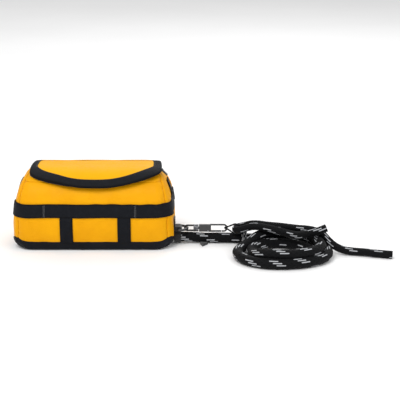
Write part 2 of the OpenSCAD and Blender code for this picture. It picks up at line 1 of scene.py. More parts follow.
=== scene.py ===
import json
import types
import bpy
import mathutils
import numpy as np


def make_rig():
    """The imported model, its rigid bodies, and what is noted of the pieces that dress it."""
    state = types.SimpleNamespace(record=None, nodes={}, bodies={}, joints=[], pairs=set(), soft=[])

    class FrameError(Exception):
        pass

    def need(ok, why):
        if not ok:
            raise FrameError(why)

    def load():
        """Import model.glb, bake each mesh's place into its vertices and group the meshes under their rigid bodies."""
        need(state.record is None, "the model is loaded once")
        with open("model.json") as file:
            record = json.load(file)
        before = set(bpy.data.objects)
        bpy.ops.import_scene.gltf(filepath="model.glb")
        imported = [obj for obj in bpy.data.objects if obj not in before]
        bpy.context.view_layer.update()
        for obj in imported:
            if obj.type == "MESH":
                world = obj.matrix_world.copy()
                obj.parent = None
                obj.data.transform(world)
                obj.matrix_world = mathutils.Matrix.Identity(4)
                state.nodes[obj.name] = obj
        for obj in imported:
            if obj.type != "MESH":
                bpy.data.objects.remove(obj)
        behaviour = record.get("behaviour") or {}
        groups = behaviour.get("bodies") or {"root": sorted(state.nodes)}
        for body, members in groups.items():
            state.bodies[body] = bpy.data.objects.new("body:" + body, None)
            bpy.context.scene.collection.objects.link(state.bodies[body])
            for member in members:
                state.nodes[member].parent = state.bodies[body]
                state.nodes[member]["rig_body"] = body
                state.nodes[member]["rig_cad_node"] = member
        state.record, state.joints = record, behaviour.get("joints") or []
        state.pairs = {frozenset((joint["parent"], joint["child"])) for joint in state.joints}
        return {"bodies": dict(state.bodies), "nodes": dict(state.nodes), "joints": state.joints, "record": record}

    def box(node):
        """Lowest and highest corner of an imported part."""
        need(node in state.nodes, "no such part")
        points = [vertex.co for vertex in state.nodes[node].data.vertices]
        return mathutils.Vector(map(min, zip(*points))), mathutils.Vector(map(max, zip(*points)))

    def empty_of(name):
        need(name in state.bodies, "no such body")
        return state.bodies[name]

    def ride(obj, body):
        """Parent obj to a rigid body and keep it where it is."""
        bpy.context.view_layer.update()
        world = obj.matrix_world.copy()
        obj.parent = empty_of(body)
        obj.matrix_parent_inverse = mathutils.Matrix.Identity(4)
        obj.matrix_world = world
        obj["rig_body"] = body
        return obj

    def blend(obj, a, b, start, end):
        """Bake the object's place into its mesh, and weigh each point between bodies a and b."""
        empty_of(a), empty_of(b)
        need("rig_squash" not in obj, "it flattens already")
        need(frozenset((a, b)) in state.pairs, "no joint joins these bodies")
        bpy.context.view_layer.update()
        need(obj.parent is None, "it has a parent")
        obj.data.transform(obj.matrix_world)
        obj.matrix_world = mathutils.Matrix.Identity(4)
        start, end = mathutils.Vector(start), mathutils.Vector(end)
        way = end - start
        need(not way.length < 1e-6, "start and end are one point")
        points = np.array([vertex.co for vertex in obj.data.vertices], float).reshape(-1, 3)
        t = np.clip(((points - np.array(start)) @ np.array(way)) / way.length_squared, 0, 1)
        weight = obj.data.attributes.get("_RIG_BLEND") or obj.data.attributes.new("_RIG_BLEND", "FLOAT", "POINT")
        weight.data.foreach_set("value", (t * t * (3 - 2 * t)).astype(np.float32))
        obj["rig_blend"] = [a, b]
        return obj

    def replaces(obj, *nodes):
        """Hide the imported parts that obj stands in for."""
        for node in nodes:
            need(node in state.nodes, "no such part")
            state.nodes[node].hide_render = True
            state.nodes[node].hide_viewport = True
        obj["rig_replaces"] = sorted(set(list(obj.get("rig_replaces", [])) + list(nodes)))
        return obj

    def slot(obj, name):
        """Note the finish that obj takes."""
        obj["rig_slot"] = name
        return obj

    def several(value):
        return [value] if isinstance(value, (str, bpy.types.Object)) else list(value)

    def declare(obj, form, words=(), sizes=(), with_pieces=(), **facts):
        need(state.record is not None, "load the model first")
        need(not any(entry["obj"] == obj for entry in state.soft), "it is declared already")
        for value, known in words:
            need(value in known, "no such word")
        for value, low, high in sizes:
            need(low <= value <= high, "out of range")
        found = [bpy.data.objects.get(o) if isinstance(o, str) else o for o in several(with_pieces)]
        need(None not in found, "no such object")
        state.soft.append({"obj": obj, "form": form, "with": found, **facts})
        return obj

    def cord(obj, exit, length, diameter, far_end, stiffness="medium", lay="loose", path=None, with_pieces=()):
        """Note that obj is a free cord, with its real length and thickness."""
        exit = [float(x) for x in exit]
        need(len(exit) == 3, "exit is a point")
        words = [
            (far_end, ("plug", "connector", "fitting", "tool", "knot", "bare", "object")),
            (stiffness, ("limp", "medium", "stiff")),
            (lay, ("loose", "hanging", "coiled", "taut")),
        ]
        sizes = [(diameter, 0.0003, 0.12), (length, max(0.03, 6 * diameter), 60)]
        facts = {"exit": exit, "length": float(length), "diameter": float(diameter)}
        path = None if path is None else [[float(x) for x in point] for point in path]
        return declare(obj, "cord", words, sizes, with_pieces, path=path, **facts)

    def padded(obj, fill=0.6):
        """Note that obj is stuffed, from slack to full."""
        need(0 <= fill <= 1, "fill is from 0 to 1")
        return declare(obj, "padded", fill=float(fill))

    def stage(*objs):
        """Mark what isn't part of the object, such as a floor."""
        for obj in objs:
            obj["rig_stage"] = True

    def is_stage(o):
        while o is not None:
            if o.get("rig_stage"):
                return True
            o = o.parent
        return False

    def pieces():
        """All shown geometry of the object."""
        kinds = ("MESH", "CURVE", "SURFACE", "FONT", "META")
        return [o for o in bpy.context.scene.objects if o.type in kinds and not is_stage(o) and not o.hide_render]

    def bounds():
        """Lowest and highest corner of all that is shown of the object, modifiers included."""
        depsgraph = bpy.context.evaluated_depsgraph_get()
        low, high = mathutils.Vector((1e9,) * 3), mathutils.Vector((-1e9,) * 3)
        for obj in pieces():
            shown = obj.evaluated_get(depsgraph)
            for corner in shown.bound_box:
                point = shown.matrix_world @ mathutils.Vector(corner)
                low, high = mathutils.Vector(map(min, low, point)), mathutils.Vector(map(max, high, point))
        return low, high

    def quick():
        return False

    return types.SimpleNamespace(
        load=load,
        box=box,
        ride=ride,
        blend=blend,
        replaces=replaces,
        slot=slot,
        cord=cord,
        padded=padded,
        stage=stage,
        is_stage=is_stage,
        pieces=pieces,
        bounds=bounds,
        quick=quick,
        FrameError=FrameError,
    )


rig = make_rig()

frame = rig.load()

import json
from math import asin, cos, dist, exp, hypot, pi, radians, sin, sqrt

import bmesh
import bpy
from mathutils import Vector, noise

# The CAD model's box, kept to be written beside the final box at the end
cad_low, cad_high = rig.bounds()

MM = 0.001

# ---- driving sizes, from the frame
HALF_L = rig.box("end_panel_right")[1][0]  # half length of the bag
HALF_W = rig.box("end_panel_right")[1][1]  # half width of the bag
BODY_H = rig.box("mouth_panel")[1][2]  # height without the flap
MID_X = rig.box("base_foam")[1][0]  # half length of the straight middle
SEAM_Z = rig.box("front_panel")[1][2]  # seam between wall and mouth panel
GIRTH_Z0, GIRTH_Z1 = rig.box("girth_webbing")[0][2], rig.box("girth_webbing")[1][2]
FLAP_LOW, FLAP_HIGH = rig.box("flap_binding")
FLAP_LENGTH = FLAP_HIGH[0] - FLAP_LOW[0]
FLAP_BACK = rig.box("flap_panel")[1][1]
COIL_LOW, COIL_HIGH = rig.box("rope_coil")
COIL_C = ((COIL_LOW[0] + COIL_HIGH[0]) / 2, (COIL_LOW[1] + COIL_HIGH[1]) / 2)

# Cross-section arcs of the bag, as the CAD model has them
BELLY_R, BELLY_Y, BELLY_Z = 81 * MM, 38.5 * MM, 24 * MM
SHOULDER_R, SHOULDER_Y = 29.6 * MM, -9.7 * MM
SHOULDER_Z = BODY_H - SHOULDER_R


def add_object(name, data):
    ob = bpy.data.objects.new(name, data)
    bpy.context.scene.collection.objects.link(ob)
    return ob


# ---- camera
CAMERA_TARGET = Vector((0.106, -0.005, 0.0412))
CAMERA_DISTANCE = 1.2
CAMERA_ELEVATION = radians(16)


def make_camera():
    data = bpy.data.cameras.new("camera")
    camera = add_object("camera", data)
    ahead = Vector((0, cos(CAMERA_ELEVATION), -sin(CAMERA_ELEVATION)))
    camera.location = CAMERA_TARGET - ahead * CAMERA_DISTANCE
    camera.rotation_euler = (pi / 2 - CAMERA_ELEVATION, 0, 0)
    data.sensor_width = 36
    data.lens = 108
    data.clip_start = 0.01
    bpy.context.scene.camera = camera


make_camera()


# ---- small helpers
def lerp(a, b, t):
    return a + (b - a) * t


def smooth(a, b, x):
    """0 at a, 1 at b, with an easy start and end; b may be below a."""
    t = min(1.0, max(0.0, (x - a) / (b - a)))
    return t * t * (3 - 2 * t)


def new_mesh(name, verts, faces, uvs=None):
    """A mesh object; uvs gives one (u, v) per corner, face by face."""
    mesh = bpy.data.meshes.new(name)
    mesh.from_pydata([tuple(v) for v in verts], [], faces)
    if uvs is not None:
        layer = mesh.uv_layers.new(name="cloth")
        for loop, uv in zip(layer.data, uvs):
            loop.uv = uv
    mesh.validate()
    mesh.update()
    mesh.polygons.foreach_set("use_smooth", [True] * len(mesh.polygons))
    return add_object(name, mesh)


def tidy_normals(ob, weld=0.0):
    """Turn the faces the same way out, after joining points closer than weld."""
    bm = bmesh.new()
    bm.from_mesh(ob.data)
    if weld:
        bmesh.ops.remove_doubles(bm, verts=bm.verts, dist=weld)
    bmesh.ops.recalc_face_normals(bm, faces=bm.faces)
    bm.to_mesh(ob.data)
    bm.free()
    return ob


def solidify(ob, thickness, offset=-1.0):
    m = ob.modifiers.new("thickness", "SOLIDIFY")
    m.thickness = thickness
    m.offset = offset


def subdivide(ob):
    m = ob.modifiers.new("smooth", "SUBSURF")
    m.levels = 1
    m.render_levels = 1


def wobble(x, y, z):
    """Smooth noise, -1 to 1."""
    return noise.noise(Vector((x, y, z)))


def paint(ob, material):
    ob.data.materials.clear()
    ob.data.materials.append(material)


def piece(ob, body, material, slot=None, replaces=()):
    paint(ob, material)
    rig.ride(ob, body)
    if slot:
        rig.slot(ob, slot)
    if replaces:
        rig.replaces(ob, *replaces)
    return ob


# ---- materials
class Shader:
    """A Principled material with short calls for its nodes."""

    def __init__(self, name, colour, roughness, metallic=0.0, **sockets):
        self.mat = bpy.data.materials.new(name)
        self.mat.use_nodes = True
        self.nt = self.mat.node_tree
        self.bsdf = self.nt.nodes["Principled BSDF"]
        self.bsdf.inputs["Base Color"].default_value = (*colour, 1)
        self.bsdf.inputs["Roughness"].default_value = roughness
        self.bsdf.inputs["Metallic"].default_value = metallic
        for key, value in sockets.items():
            self.bsdf.inputs[key.replace("_", " ")].default_value = value

    def add(self, kind, **inputs):
        node = self.nt.nodes.new(kind)
        for key, value in inputs.items():
            node.inputs[key].default_value = value
        return node

    def link(self, a, b):
        self.nt.links.new(a, b)

    def maths(self, operation, *values):
        node = self.nt.nodes.new("ShaderNodeMath")
        node.operation = operation
        for socket, value in zip(node.inputs, values):
            if isinstance(value, (int, float)):
                socket.default_value = value
            else:
                self.link(value, socket)
        return node.outputs[0]

    def wave(self, value):
        """How far a sine has swung either way, 0 to 1."""
        return self.maths("ABSOLUTE", self.maths("SINE", value))

    def uv(self):
        node = self.add("ShaderNodeUVMap")
        node.uv_map = "cloth"
        split = self.add("ShaderNodeSeparateXYZ")
        self.link(node.outputs[0], split.inputs[0])
        return split.outputs[0], split.outputs[1]

    def place(self):
        return self.add("ShaderNodeTexCoord").outputs["Object"]

    def noise(self, vector, scale, detail=3.0, roughness=0.55):
        node = self.add("ShaderNodeTexNoise", Scale=scale, Detail=detail, Roughness=roughness)
        self.link(vector, node.inputs["Vector"])
        return node.outputs["Fac"]

    def range(self, value, a0, a1, b0, b1):
        node = self.add("ShaderNodeMapRange")
        self.link(value, node.inputs[0])
        for i, v in enumerate((a0, a1, b0, b1)):
            node.inputs[i + 1].default_value = v
        return node.outputs[0]

    def mix(self, factor, a, b):
        node = self.nt.nodes.new("ShaderNodeMix")
        node.data_type = "RGBA"
        for socket, value in ((node.inputs[0], factor), (node.inputs[6], a), (node.inputs[7], b)):
            if isinstance(value, (int, float)):
                socket.default_value = value
            elif isinstance(value, tuple):
                socket.default_value = (*value, 1)
            else:
                self.link(value, socket)
        return node.outputs[2]

    def base(self, colour):
        self.link(colour, self.bsdf.inputs["Base Color"])

    def rough(self, value):
        self.link(value, self.bsdf.inputs["Roughness"])

    def bump(self, height, strength, distance):
        node = self.add("ShaderNodeBump", Strength=strength, Distance=distance)
        self.link(height, node.inputs["Height"])
        chain = self.bsdf.inputs["Normal"]
        if chain.is_linked:
            self.link(chain.links[0].from_socket, node.inputs["Normal"])
        self.link(node.outputs[0], chain)


def shade(colour, share):
    return tuple(min(1.0, c * share) for c in colour)


def tarpaulin(name, colour, deep, roughness):
    """Coated fabric: the weave shows faintly through the coating, with scuffs and a soft sheen."""
    s = Shader(name, colour, roughness, Specular_IOR_Level=0.1)
    here = s.place()
    broad = s.noise(here, 38.0, 4.0)
    fine = s.noise(here, 420.0, 3.0)
    tone = s.mix(s.range(broad, 0.35, 0.7, 0.0, 1.0), deep, colour)
    scuff = s.range(s.noise(here, 140.0, 6.0, 0.7), 0.62, 0.78, 0.0, 0.35)
    s.base(s.mix(scuff, tone, shade(colour, 1.08)))
    s.rough(s.range(fine, 0.3, 0.7, roughness - 0.07, roughness + 0.1))
    weave = s.add("ShaderNodeTexVoronoi", Scale=1500.0)
    s.link(here, weave.inputs["Vector"])
    s.bump(weave.outputs["Distance"], 0.12, 0.00012)
    s.bump(broad, 0.25, 0.0012)
    return s.mat


def webbing(name, colour, edge, ribs, across):
    """Woven tape; ribs a metre run along u or, with across, across it. v runs 0 to 1 over it."""
    s = Shader(name, colour, 0.7, Specular_IOR_Level=0.12, Sheen_Weight=0.02, Sheen_Roughness=0.5)
    u, v = s.uv()
    run = u if across else v
    rib = s.wave(s.maths("MULTIPLY", run, pi * ribs))
    other, picks = (v, 9) if across else (u, 900)
    pick = s.wave(s.maths("MULTIPLY", other, pi * picks))
    height = s.maths("ADD", rib, s.maths("MULTIPLY", pick, 0.45))
    s.bump(height, 0.55, 0.00022)
    # Where v nears 0 or 1 the tape is darkened to the edge colour: painted shade at its edges and folds
    middle = s.maths("ABSOLUTE", s.maths("SUBTRACT", s.maths("MULTIPLY", v, 2.0), 1.0))
    rim = s.range(middle, 0.72, 0.98, 0.0, 1.0)
    # Lighter patches in noise: partly wear, partly painted sheen on the fibres
    wear_and_sheen = s.range(s.noise(s.place(), 260.0, 5.0, 0.7), 0.45, 0.8, 0.0, 0.5)
    lit = s.mix(wear_and_sheen, colour, tuple(c * 1.9 + 0.004 for c in colour))
    # The low parts of the weave are darkened towards the edge colour: painted shade in the grooves
    deep = s.mix(s.range(height, 0.2, 1.3, 0.55, 0.0), lit, edge)
    s.base(s.mix(rim, deep, edge))
    return s.mat


def plain_fabric(name, colour, scale):
    s = Shader(name, colour, 0.85, Sheen_Weight=0.3)
    here = s.place()
    a = s.add("ShaderNodeTexWave", Scale=scale)
    a.bands_direction = "X"
    b = s.add("ShaderNodeTexWave", Scale=scale)
    b.bands_direction = "Z"
    s.link(here, a.inputs["Vector"])
    s.link(here, b.inputs["Vector"])
    s.bump(s.maths("MAXIMUM", a.outputs["Fac"], b.outputs["Fac"]), 0.4, 0.0002)
    s.base(s.mix(s.range(s.noise(here, 300.0), 0.3, 0.7, 0, 1), colour, shade(colour, 0.7)))
    return s.mat


def foam_material():
    s = Shader("closed_cell_foam", (0.72, 0.72, 0.69), 0.9)
    here = s.place()
    cells = s.add("ShaderNodeTexVoronoi", Scale=900.0)
    s.link(here, cells.inputs["Vector"])
    s.bump(cells.outputs["Distance"], 0.6, 0.0003)
    # The cells' pits are painted darker than their walls: painted shade in the pits
    s.base(s.mix(s.range(cells.outputs["Distance"], 0.1, 0.6, 0, 1), (0.58, 0.58, 0.55), (0.78, 0.78, 0.75)))
    return s.mat


def metal(name, colour, roughness, wear):
    s = Shader(name, colour, roughness, 1.0)
    here = s.place()
    grain = s.noise(here, 1500.0, 4.0)
    patch = s.noise(here, 500.0, 6.0, 0.7)
    s.rough(s.range(grain, 0.3, 0.7, roughness - 0.08, roughness + 0.14))
    s.base(s.mix(s.range(patch, 0.5, 0.68, 0.0, 1.0), colour, wear))
    s.bump(grain, 0.15, 0.00008)
    return s.mat


def coated_metal(name, colour, roughness):
    """Black coating with small bright rubs."""
    s = Shader(name, colour, roughness, 0.0, Specular_IOR_Level=0.6, Coat_Weight=0.35, Coat_Roughness=0.2)
    here = s.place()
    rubs = s.range(s.noise(here, 900.0, 7.0, 0.75), 0.66, 0.74, 0.0, 0.7)
    s.base(s.mix(rubs, colour, (0.34, 0.35, 0.36)))
    s.rough(s.range(s.noise(here, 1300.0), 0.3, 0.7, roughness - 0.06, roughness + 0.12))
    s.bump(s.noise(here, 2200.0), 0.2, 0.00006)
    return s.mat


def braid(name, colour, diameter, pitch, tracer, dash=6.5 * MM, width=0.62, columns=15):
    """Hollow braid: u is the distance along the rope in metres, v the turn round it from 0 to 1."""
    s = Shader(name, colour, 0.7, Specular_IOR_Level=0.12, Sheen_Weight=0.02, Sheen_Roughness=0.5)
    u, v = s.uv()
    carriers = 8
    lay = 1.0 / (diameter * 2.1)
    turn = s.maths("MULTIPLY", v, float(carriers))
    run = s.maths("MULTIPLY", u, lay * carriers / 2)
    left = s.wave(s.maths("MULTIPLY", s.maths("ADD", turn, run), pi))
    right = s.wave(s.maths("MULTIPLY", s.maths("SUBTRACT", turn, run), pi))
    weave = s.maths("MAXIMUM", left, right)
    yarn = s.add("ShaderNodeCombineXYZ")
    s.link(s.maths("MULTIPLY", u, 260.0), yarn.inputs[0])
    s.link(s.maths("MULTIPLY", v, 60.0), yarn.inputs[1])
    hair = s.noise(yarn.outputs[0], 1.0, 4.0, 0.7)
    s.bump(s.maths("ADD", weave, s.maths("MULTIPLY", hair, 0.8)), 0.7, 0.0004)
    # Tracer: one dash in each column of the turn, stepped along by a share of the pitch
    column_at = s.maths("MULTIPLY", v, float(columns))
    column = s.maths("FLOOR", column_at)
    inside = s.maths("ABSOLUTE", s.maths("SUBTRACT", s.maths("SUBTRACT", column_at, column), 0.5))
    across = s.maths("LESS_THAN", inside, width / 2)
    start = s.maths("SUBTRACT", s.maths("DIVIDE", u, pitch), s.maths("DIVIDE", column, float(columns)))
    half_turn = s.maths("FRACT", s.maths("MULTIPLY", start, 2.0))
    along = s.maths("LESS_THAN", half_turn, 2.0 * dash / pitch)
    # Of every five columns, three carry a dash
    row = s.maths("FLOOR", s.maths("MULTIPLY", start, 2.0))
    group = s.maths("FRACT", s.maths("DIVIDE", s.maths("ADD", column, row), 5.0))
    kept = s.maths("LESS_THAN", group, 0.55)
    dashes = s.maths("MULTIPLY", s.maths("MULTIPLY", across, along), kept)
    dashes = s.maths("MULTIPLY", dashes, s.range(hair, 0.3, 0.45, 0.55, 1.0))
    # The hair streaks make the tone darker and lighter: partly the fibres' own tone, partly painted highlight on the
    # fuzz
    tone = s.mix(s.range(hair, 0.35, 0.7, 0.0, 1.0), shade(colour, 0.45), shade(colour, 1.9))
    # The braid's grooves are darkened: painted shade between the strands
    tone = s.mix(s.range(weave, 0.75, 1.0, 0.0, 0.6), shade(colour, 0.35), tone)
    s.base(s.mix(dashes, tone, tracer))
    return s.mat


YELLOW = tarpaulin("yellow_tarpaulin", (0.80, 0.365, 0.0006), (0.74, 0.32, 0.0004), 0.5)
# A lighter copy of the yellow tarpaulin for the flap and its hinge cover: painted light on the flap's top
LIT_FLAP_YELLOW = tarpaulin("lit_flap_tarpaulin", (0.82, 0.40, 0.0010), (0.77, 0.37, 0.0008), 0.48)
BASE_BLACK = tarpaulin("base_tarpaulin", (0.008, 0.009, 0.013), (0.004, 0.005, 0.007), 0.55)
# The second colour of each tape is its painted shade, used at its edges and in the weave's grooves
WEBBING = webbing("girth_webbing", (0.005, 0.006, 0.009), (0.002, 0.002, 0.003), 13.0, False)
BINDING = webbing("binding_tape", (0.007, 0.008, 0.011), (0.002, 0.002, 0.003), 900.0, True)
ZIP_TAPE = plain_fabric("zip_tape", (0.012, 0.012, 0.014), 800.0)
FOAM = foam_material()
STEEL = metal("bright_steel", (0.52, 0.53, 0.55), 0.32, (0.36, 0.36, 0.37))
GUN_METAL = metal("gun_metal", (0.10, 0.10, 0.105), 0.34, (0.32, 0.32, 0.33))
BLACK_METAL = coated_metal("black_coating", (0.010, 0.010, 0.012), 0.34)
ZIP_PLASTIC = coated_metal("zip_plastic", (0.014, 0.014, 0.016), 0.45)
ROPE = braid("rope_braid", (0.0036, 0.0038, 0.005), 10 * MM, 51 * MM, (0.40, 0.41, 0.43), 8 * MM, 0.5)
LINE = braid("line_braid", (0.0036, 0.0038, 0.005), 7.4 * MM, 58 * MM, (0.40, 0.41, 0.43), 8 * MM, 0.5, 12)
CORD = braid("grey_cord", (0.05, 0.052, 0.056), 2 * MM, 10 * MM, (0.62, 0.63, 0.65), 2.6 * MM, 0.8, 5)
THREAD = plain_fabric("thread", (0.02, 0.0215, 0.025), 2000.0)
TOW_FABRIC = plain_fabric("tow_fabric", (0.010, 0.0105, 0.012), 900.0)


# ---- ropes and cords
def spline(points, step, closed=False):
    """Points about a step apart on the Catmull-Rom curve through the route's points."""
    p = [Vector(q) for q in points]
    last = len(p) - 1
    out = []
    for i in range(last + 1 if closed else last):
        near = (i - 1, i, i + 1, i + 2)
        a, b, c, d = (p[k % (last + 1)] if closed else p[min(max(k, 0), last)] for k in near)
        count = max(2, round((c - b).length / step))
        for t in (k / count for k in range(count)):
            out.append(0.5 * (2 * b + (c - a) * t + (2 * a - 5 * b + 4 * c - d) * t * t
                              + (3 * b - a - 3 * c + d) * t ** 3))
    return out if closed else out + [p[-1]]


def length_of(path):
    return sum((b - a).length for a, b in zip(path, path[1:]))


def path_rings(path, closed):
    """A (centre, side, up, tangent) at each point of a path, without twist, and the distance to it."""
    n = len(path)
    tangents = []
    for i in range(n):
        a = path[i - 1] if (i or closed) else path[0]
        b = path[(i + 1) % n] if (i < n - 1 or closed) else path[-1]
        tangents.append((b - a).normalized())
    side = tangents[0].cross(Vector((0, 0, 1))).normalized()
    rings, reached = [], [0.0]
    for i, ahead in enumerate(tangents):
        side = (side - ahead * side.dot(ahead)).normalized()
        rings.append((path[i], side.copy(), ahead.cross(side).normalized(), ahead))
        if i:
            reached.append(reached[-1] + (path[i] - path[i - 1]).length)
    return rings, reached


def tube_faces(stations, sides, closing):
    """Faces and UVs of a tube; closing is the gap from its last ring to its first, or 0 if open."""
    faces, uvs = [], []
    rows = len(stations)
    for i in range(rows if closing else rows - 1):
        j = (i + 1) % rows
        far = stations[j] if j else stations[i] + closing
        for k in range(sides):
            m = (k + 1) % sides
            faces.append((i * sides + k, i * sides + m, j * sides + m, j * sides + k))
            uvs += [(stations[i], k / sides), (stations[i], (k + 1) / sides),
                    (far, (k + 1) / sides), (far, k / sides)]
    if not closing:
        faces.append(tuple(range(sides - 1, -1, -1)))
        faces.append(tuple(range((rows - 1) * sides, rows * sides)))
        uvs += [(0, 0)] * (2 * sides)
    return faces, uvs


def tube(name, path, radius, sides, lumps=0.0, braid_lift=0.0, closed=False, hollow=0.0, seed=0.0):
    """A mesh tube round a path, with its distance and turn as UVs and hollow cut ends."""
    rings, reached = path_rings(path, closed)
    verts, stations = [], []
    lay = pi / (radius * 1.05)  # how fast the braid's ridges turn along the tube

    def ring_at(i, scale, shift=0.0):
        centre, side, up, ahead = rings[i]
        for k in range(sides):
            a = 2 * pi * k / sides
            bulge = 1 + lumps * wobble(reached[i] * 60 + seed, cos(a) * 1.2, sin(a) * 1.2)
            if braid_lift:
                ridge = max(abs(sin(4 * a + reached[i] * lay)), abs(sin(4 * a - reached[i] * lay)))
                bulge += braid_lift * (ridge - 0.9)
            out = (side * cos(a) + up * sin(a)) * radius * scale * bulge
            verts.append(centre + out + ahead * shift)
        stations.append(reached[i] + shift)

    # Rings of a cut end: share of the radius, and depth in radii
    cut = [(hollow * 0.5, 1.1), (hollow, 0.5), (hollow, 0.0), (0.88, 0.0)] if hollow else []
    for scale, depth in cut:
        ring_at(0, scale, depth * radius)
    for i in range(len(path)):
        ring_at(i, 1.0)
    for scale, depth in reversed(cut):
        ring_at(len(path) - 1, scale, -depth * radius)
    closing = (path[0] - path[-1]).length if closed else 0.0
    return new_mesh(name, verts, *tube_faces(stations, sides, closing))


def in_mm(points):
    return [tuple(v * MM for v in point) for point in points]


# The cords' routes, in mm
LEAD_ROUTE = in_mm([
    (87, -15, 5.9), (94, -15, 5.9), (101, -15, 5.6), (110, -14.8, 5.1), (120, -14.6, 5),
    (130, -14.8, 5), (138, -15.2, 5), (145, -16, 5), (152, -17.2, 5),
])
TO_COIL = in_mm([(162, -18.6, 5), (170, -18.8, 5), (178, -18.4, 5)])
LINE_ROUTE = in_mm([
    (228, -54, 27.3), (221, -54.5, 24.6), (213.5, -53.8, 22), (207, -51, 19.5), (200, -46.4, 17.4),
    (192, -41, 17.6), (184, -37.8, 18.9), (174, -34.8, 20.6), (165, -31.4, 21.3), (158, -29.2, 21),
    (152.5, -28, 19.4), (148.5, -27.3, 18), (145, -26.4, 16.8), (142.4, -23.8, 15.9),
    (141.5, -20.3, 15.6), (142.4, -16.8, 15.8), (145, -14.2, 16.2), (148.5, -13.3, 16.6),
    (152.5, -15.6, 18.2), (157, -18.6, 20.2), (165, -23.2, 21.6), (174, -26.8, 21.6),
    (184, -30, 21.5), (194, -34, 21.4), (203, -38, 21.6), (210, -41.4, 22), (217, -44.4, 21.6),
    (224.5, -47.2, 18.9), (231.5, -49.6, 12.2), (238.5, -51.4, 7), (246, -52.8, 4.5),
    (255, -54.8, 3.7), (264, -57.2, 3.7), (273, -60, 3.7), (282, -62.6, 3.7), (291, -64.6, 3.7),
])
LOOP_ROUTE = in_mm([
    (130.8, -15, 15.2), (131.6, -13.2, 15.3), (133.5, -12.7, 15.6), (137, -14.5, 17.6),
    (141, -18.5, 20.3), (145, -20, 19), (146.4, -20, 15.6), (145, -20, 12.2), (141, -20.5, 10.9),
    (137, -18.5, 12.6), (133.5, -17.3, 14.6), (131.6, -16.8, 15.1),
])
ROPE_D = 10 * MM
LINE_D = 7.4 * MM
LOOP_D = 1.6 * MM

# Each turn's middle line: radius and height of the lower, upper and inner turns
TURN_LOWER, TURN_UPPER, TURN_INNER = (42 * MM, 5 * MM), (36 * MM, 12.6 * MM), (28 * MM, 5 * MM)
# Angles in degrees, clockwise from the right: where the rope starts, and where it changes turn
COIL_START, COIL_END, COIL_STEP = 82, -770, 12
CLIMB, SINK = (-178, -250), (-470, -535)
TUCK_AT, TUCK_OVER = -212, 22  # it tucks in where it climbs on to its own first turn
FRONT_SQUEEZE, RIGHT_STRETCH = 0.14, 0.09


def coil_points():
    """The main rope's turns, clockwise from the back: lower, then upper, then inside."""
    points = []
    for angle in range(COIL_START, COIL_END - 1, -COIL_STEP):
        a = radians(angle)
        rise, sink = smooth(*CLIMB, angle), smooth(*SINK, angle)
        r, z = (lerp(lerp(low, high, rise), inner, sink)
                for low, high, inner in zip(TURN_LOWER, TURN_UPPER, TURN_INNER))
        r -= 4 * MM * exp(-((angle - TUCK_AT) / TUCK_OVER) ** 2)
        if angle < 40:
            r += 0.6 * MM * sin(radians(angle * 2.3))
        stretch = 1 + RIGHT_STRETCH * max(0.0, cos(a))
        squeeze = 1 - FRONT_SQUEEZE * max(0.0, -sin(a))
        points.append((COIL_C[0] + r * stretch * cos(a), COIL_C[1] + r * squeeze * sin(a), z))
    return points


def make_ropes():
    """The main rope, from the bag to its coil, and the light line with its two cut ends."""
    path = spline(LEAD_ROUTE + TO_COIL + coil_points(), 1.1 * MM)
    rope = tube("main_rope", path, ROPE_D / 2, 28, 0.05, 0.05, hollow=0.55)
    piece(rope, "bag", ROPE, "rope_black", ["rope_lead", "rope_coil"])
    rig.cord(rope, exit=LEAD_ROUTE[0], length=length_of(path), diameter=ROPE_D, far_end="bare",
            stiffness="limp", lay="coiled", path=[tuple(q) for q in path],
            with_pieces=["rope_anchor", whipping()])

    path = spline(LINE_ROUTE, 1.0 * MM)
    line = tube("light_line", path, LINE_D / 2, 24, 0.07, 0.05, hollow=0.6, seed=7.0)
    piece(line, "bag", LINE, "rope_black", ["rope_line"])
    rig.cord(line, exit=LINE_ROUTE[0], length=length_of(path), diameter=LINE_D, far_end="bare",
            stiffness="limp", lay="loose", path=[tuple(q) for q in path])


def whipping():
    """Four turns of cord round the main rope."""
    low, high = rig.box("rope_whipping")
    thick = 2 * MM
    turns, per_turn = 4, 14
    middle_y, middle_z, wide, high_r = -16.6 * MM, 6.1 * MM, 6 * MM, 5.1 * MM
    points = []
    for i in range(turns * per_turn + 1):
        a = 2 * pi * i / per_turn
        x = lerp(low[0] + 0.4 * thick, high[0] - 0.4 * thick, i / (turns * per_turn))
        points.append((x, middle_y + wide * cos(a), middle_z + high_r * sin(a)))
    ob = tube("whipping", spline(points, 0.8 * MM), thick / 2, 10, 0.05)
    return piece(ob, "bag", CORD, "rope_black", ["rope_whipping"])


def make_loop():
    """The thin cord that ties the hook to the whipping."""
    path = spline(LOOP_ROUTE, 0.5 * MM, closed=True)
    ob = tube("tie_loop", path, LOOP_D / 2, 10, 0.04, closed=True)
    piece(ob, "bag", LINE, "rope_black", ["hook_loop"])


make_ropes()
make_loop()


# ---- surface of the bag
SKIN_T = 1.2 * MM  # thickness of the coated fabric with its backing
WELD = 0.02 * MM  # points closer than this become one
FOOT_R, FOOT_IN = 9 * MM, 11 * MM
HEEL_R, HEEL_Y = 3.5 * MM, -36.4 * MM
LEFT_SHARE = 0.972  # the left end is a little shorter than the right
LEFT_PAD_IN = 0.6 * MM  # and its foam sits this much further in
LEAN_FROM = 20 * MM
CORNER_X = 61 * MM  # where the straight sides end and the corners begin
CROWN = 0.9 * MM  # how far the ends swell
PUFF_MOST = 1.6 * MM  # how far the cloth may blow out


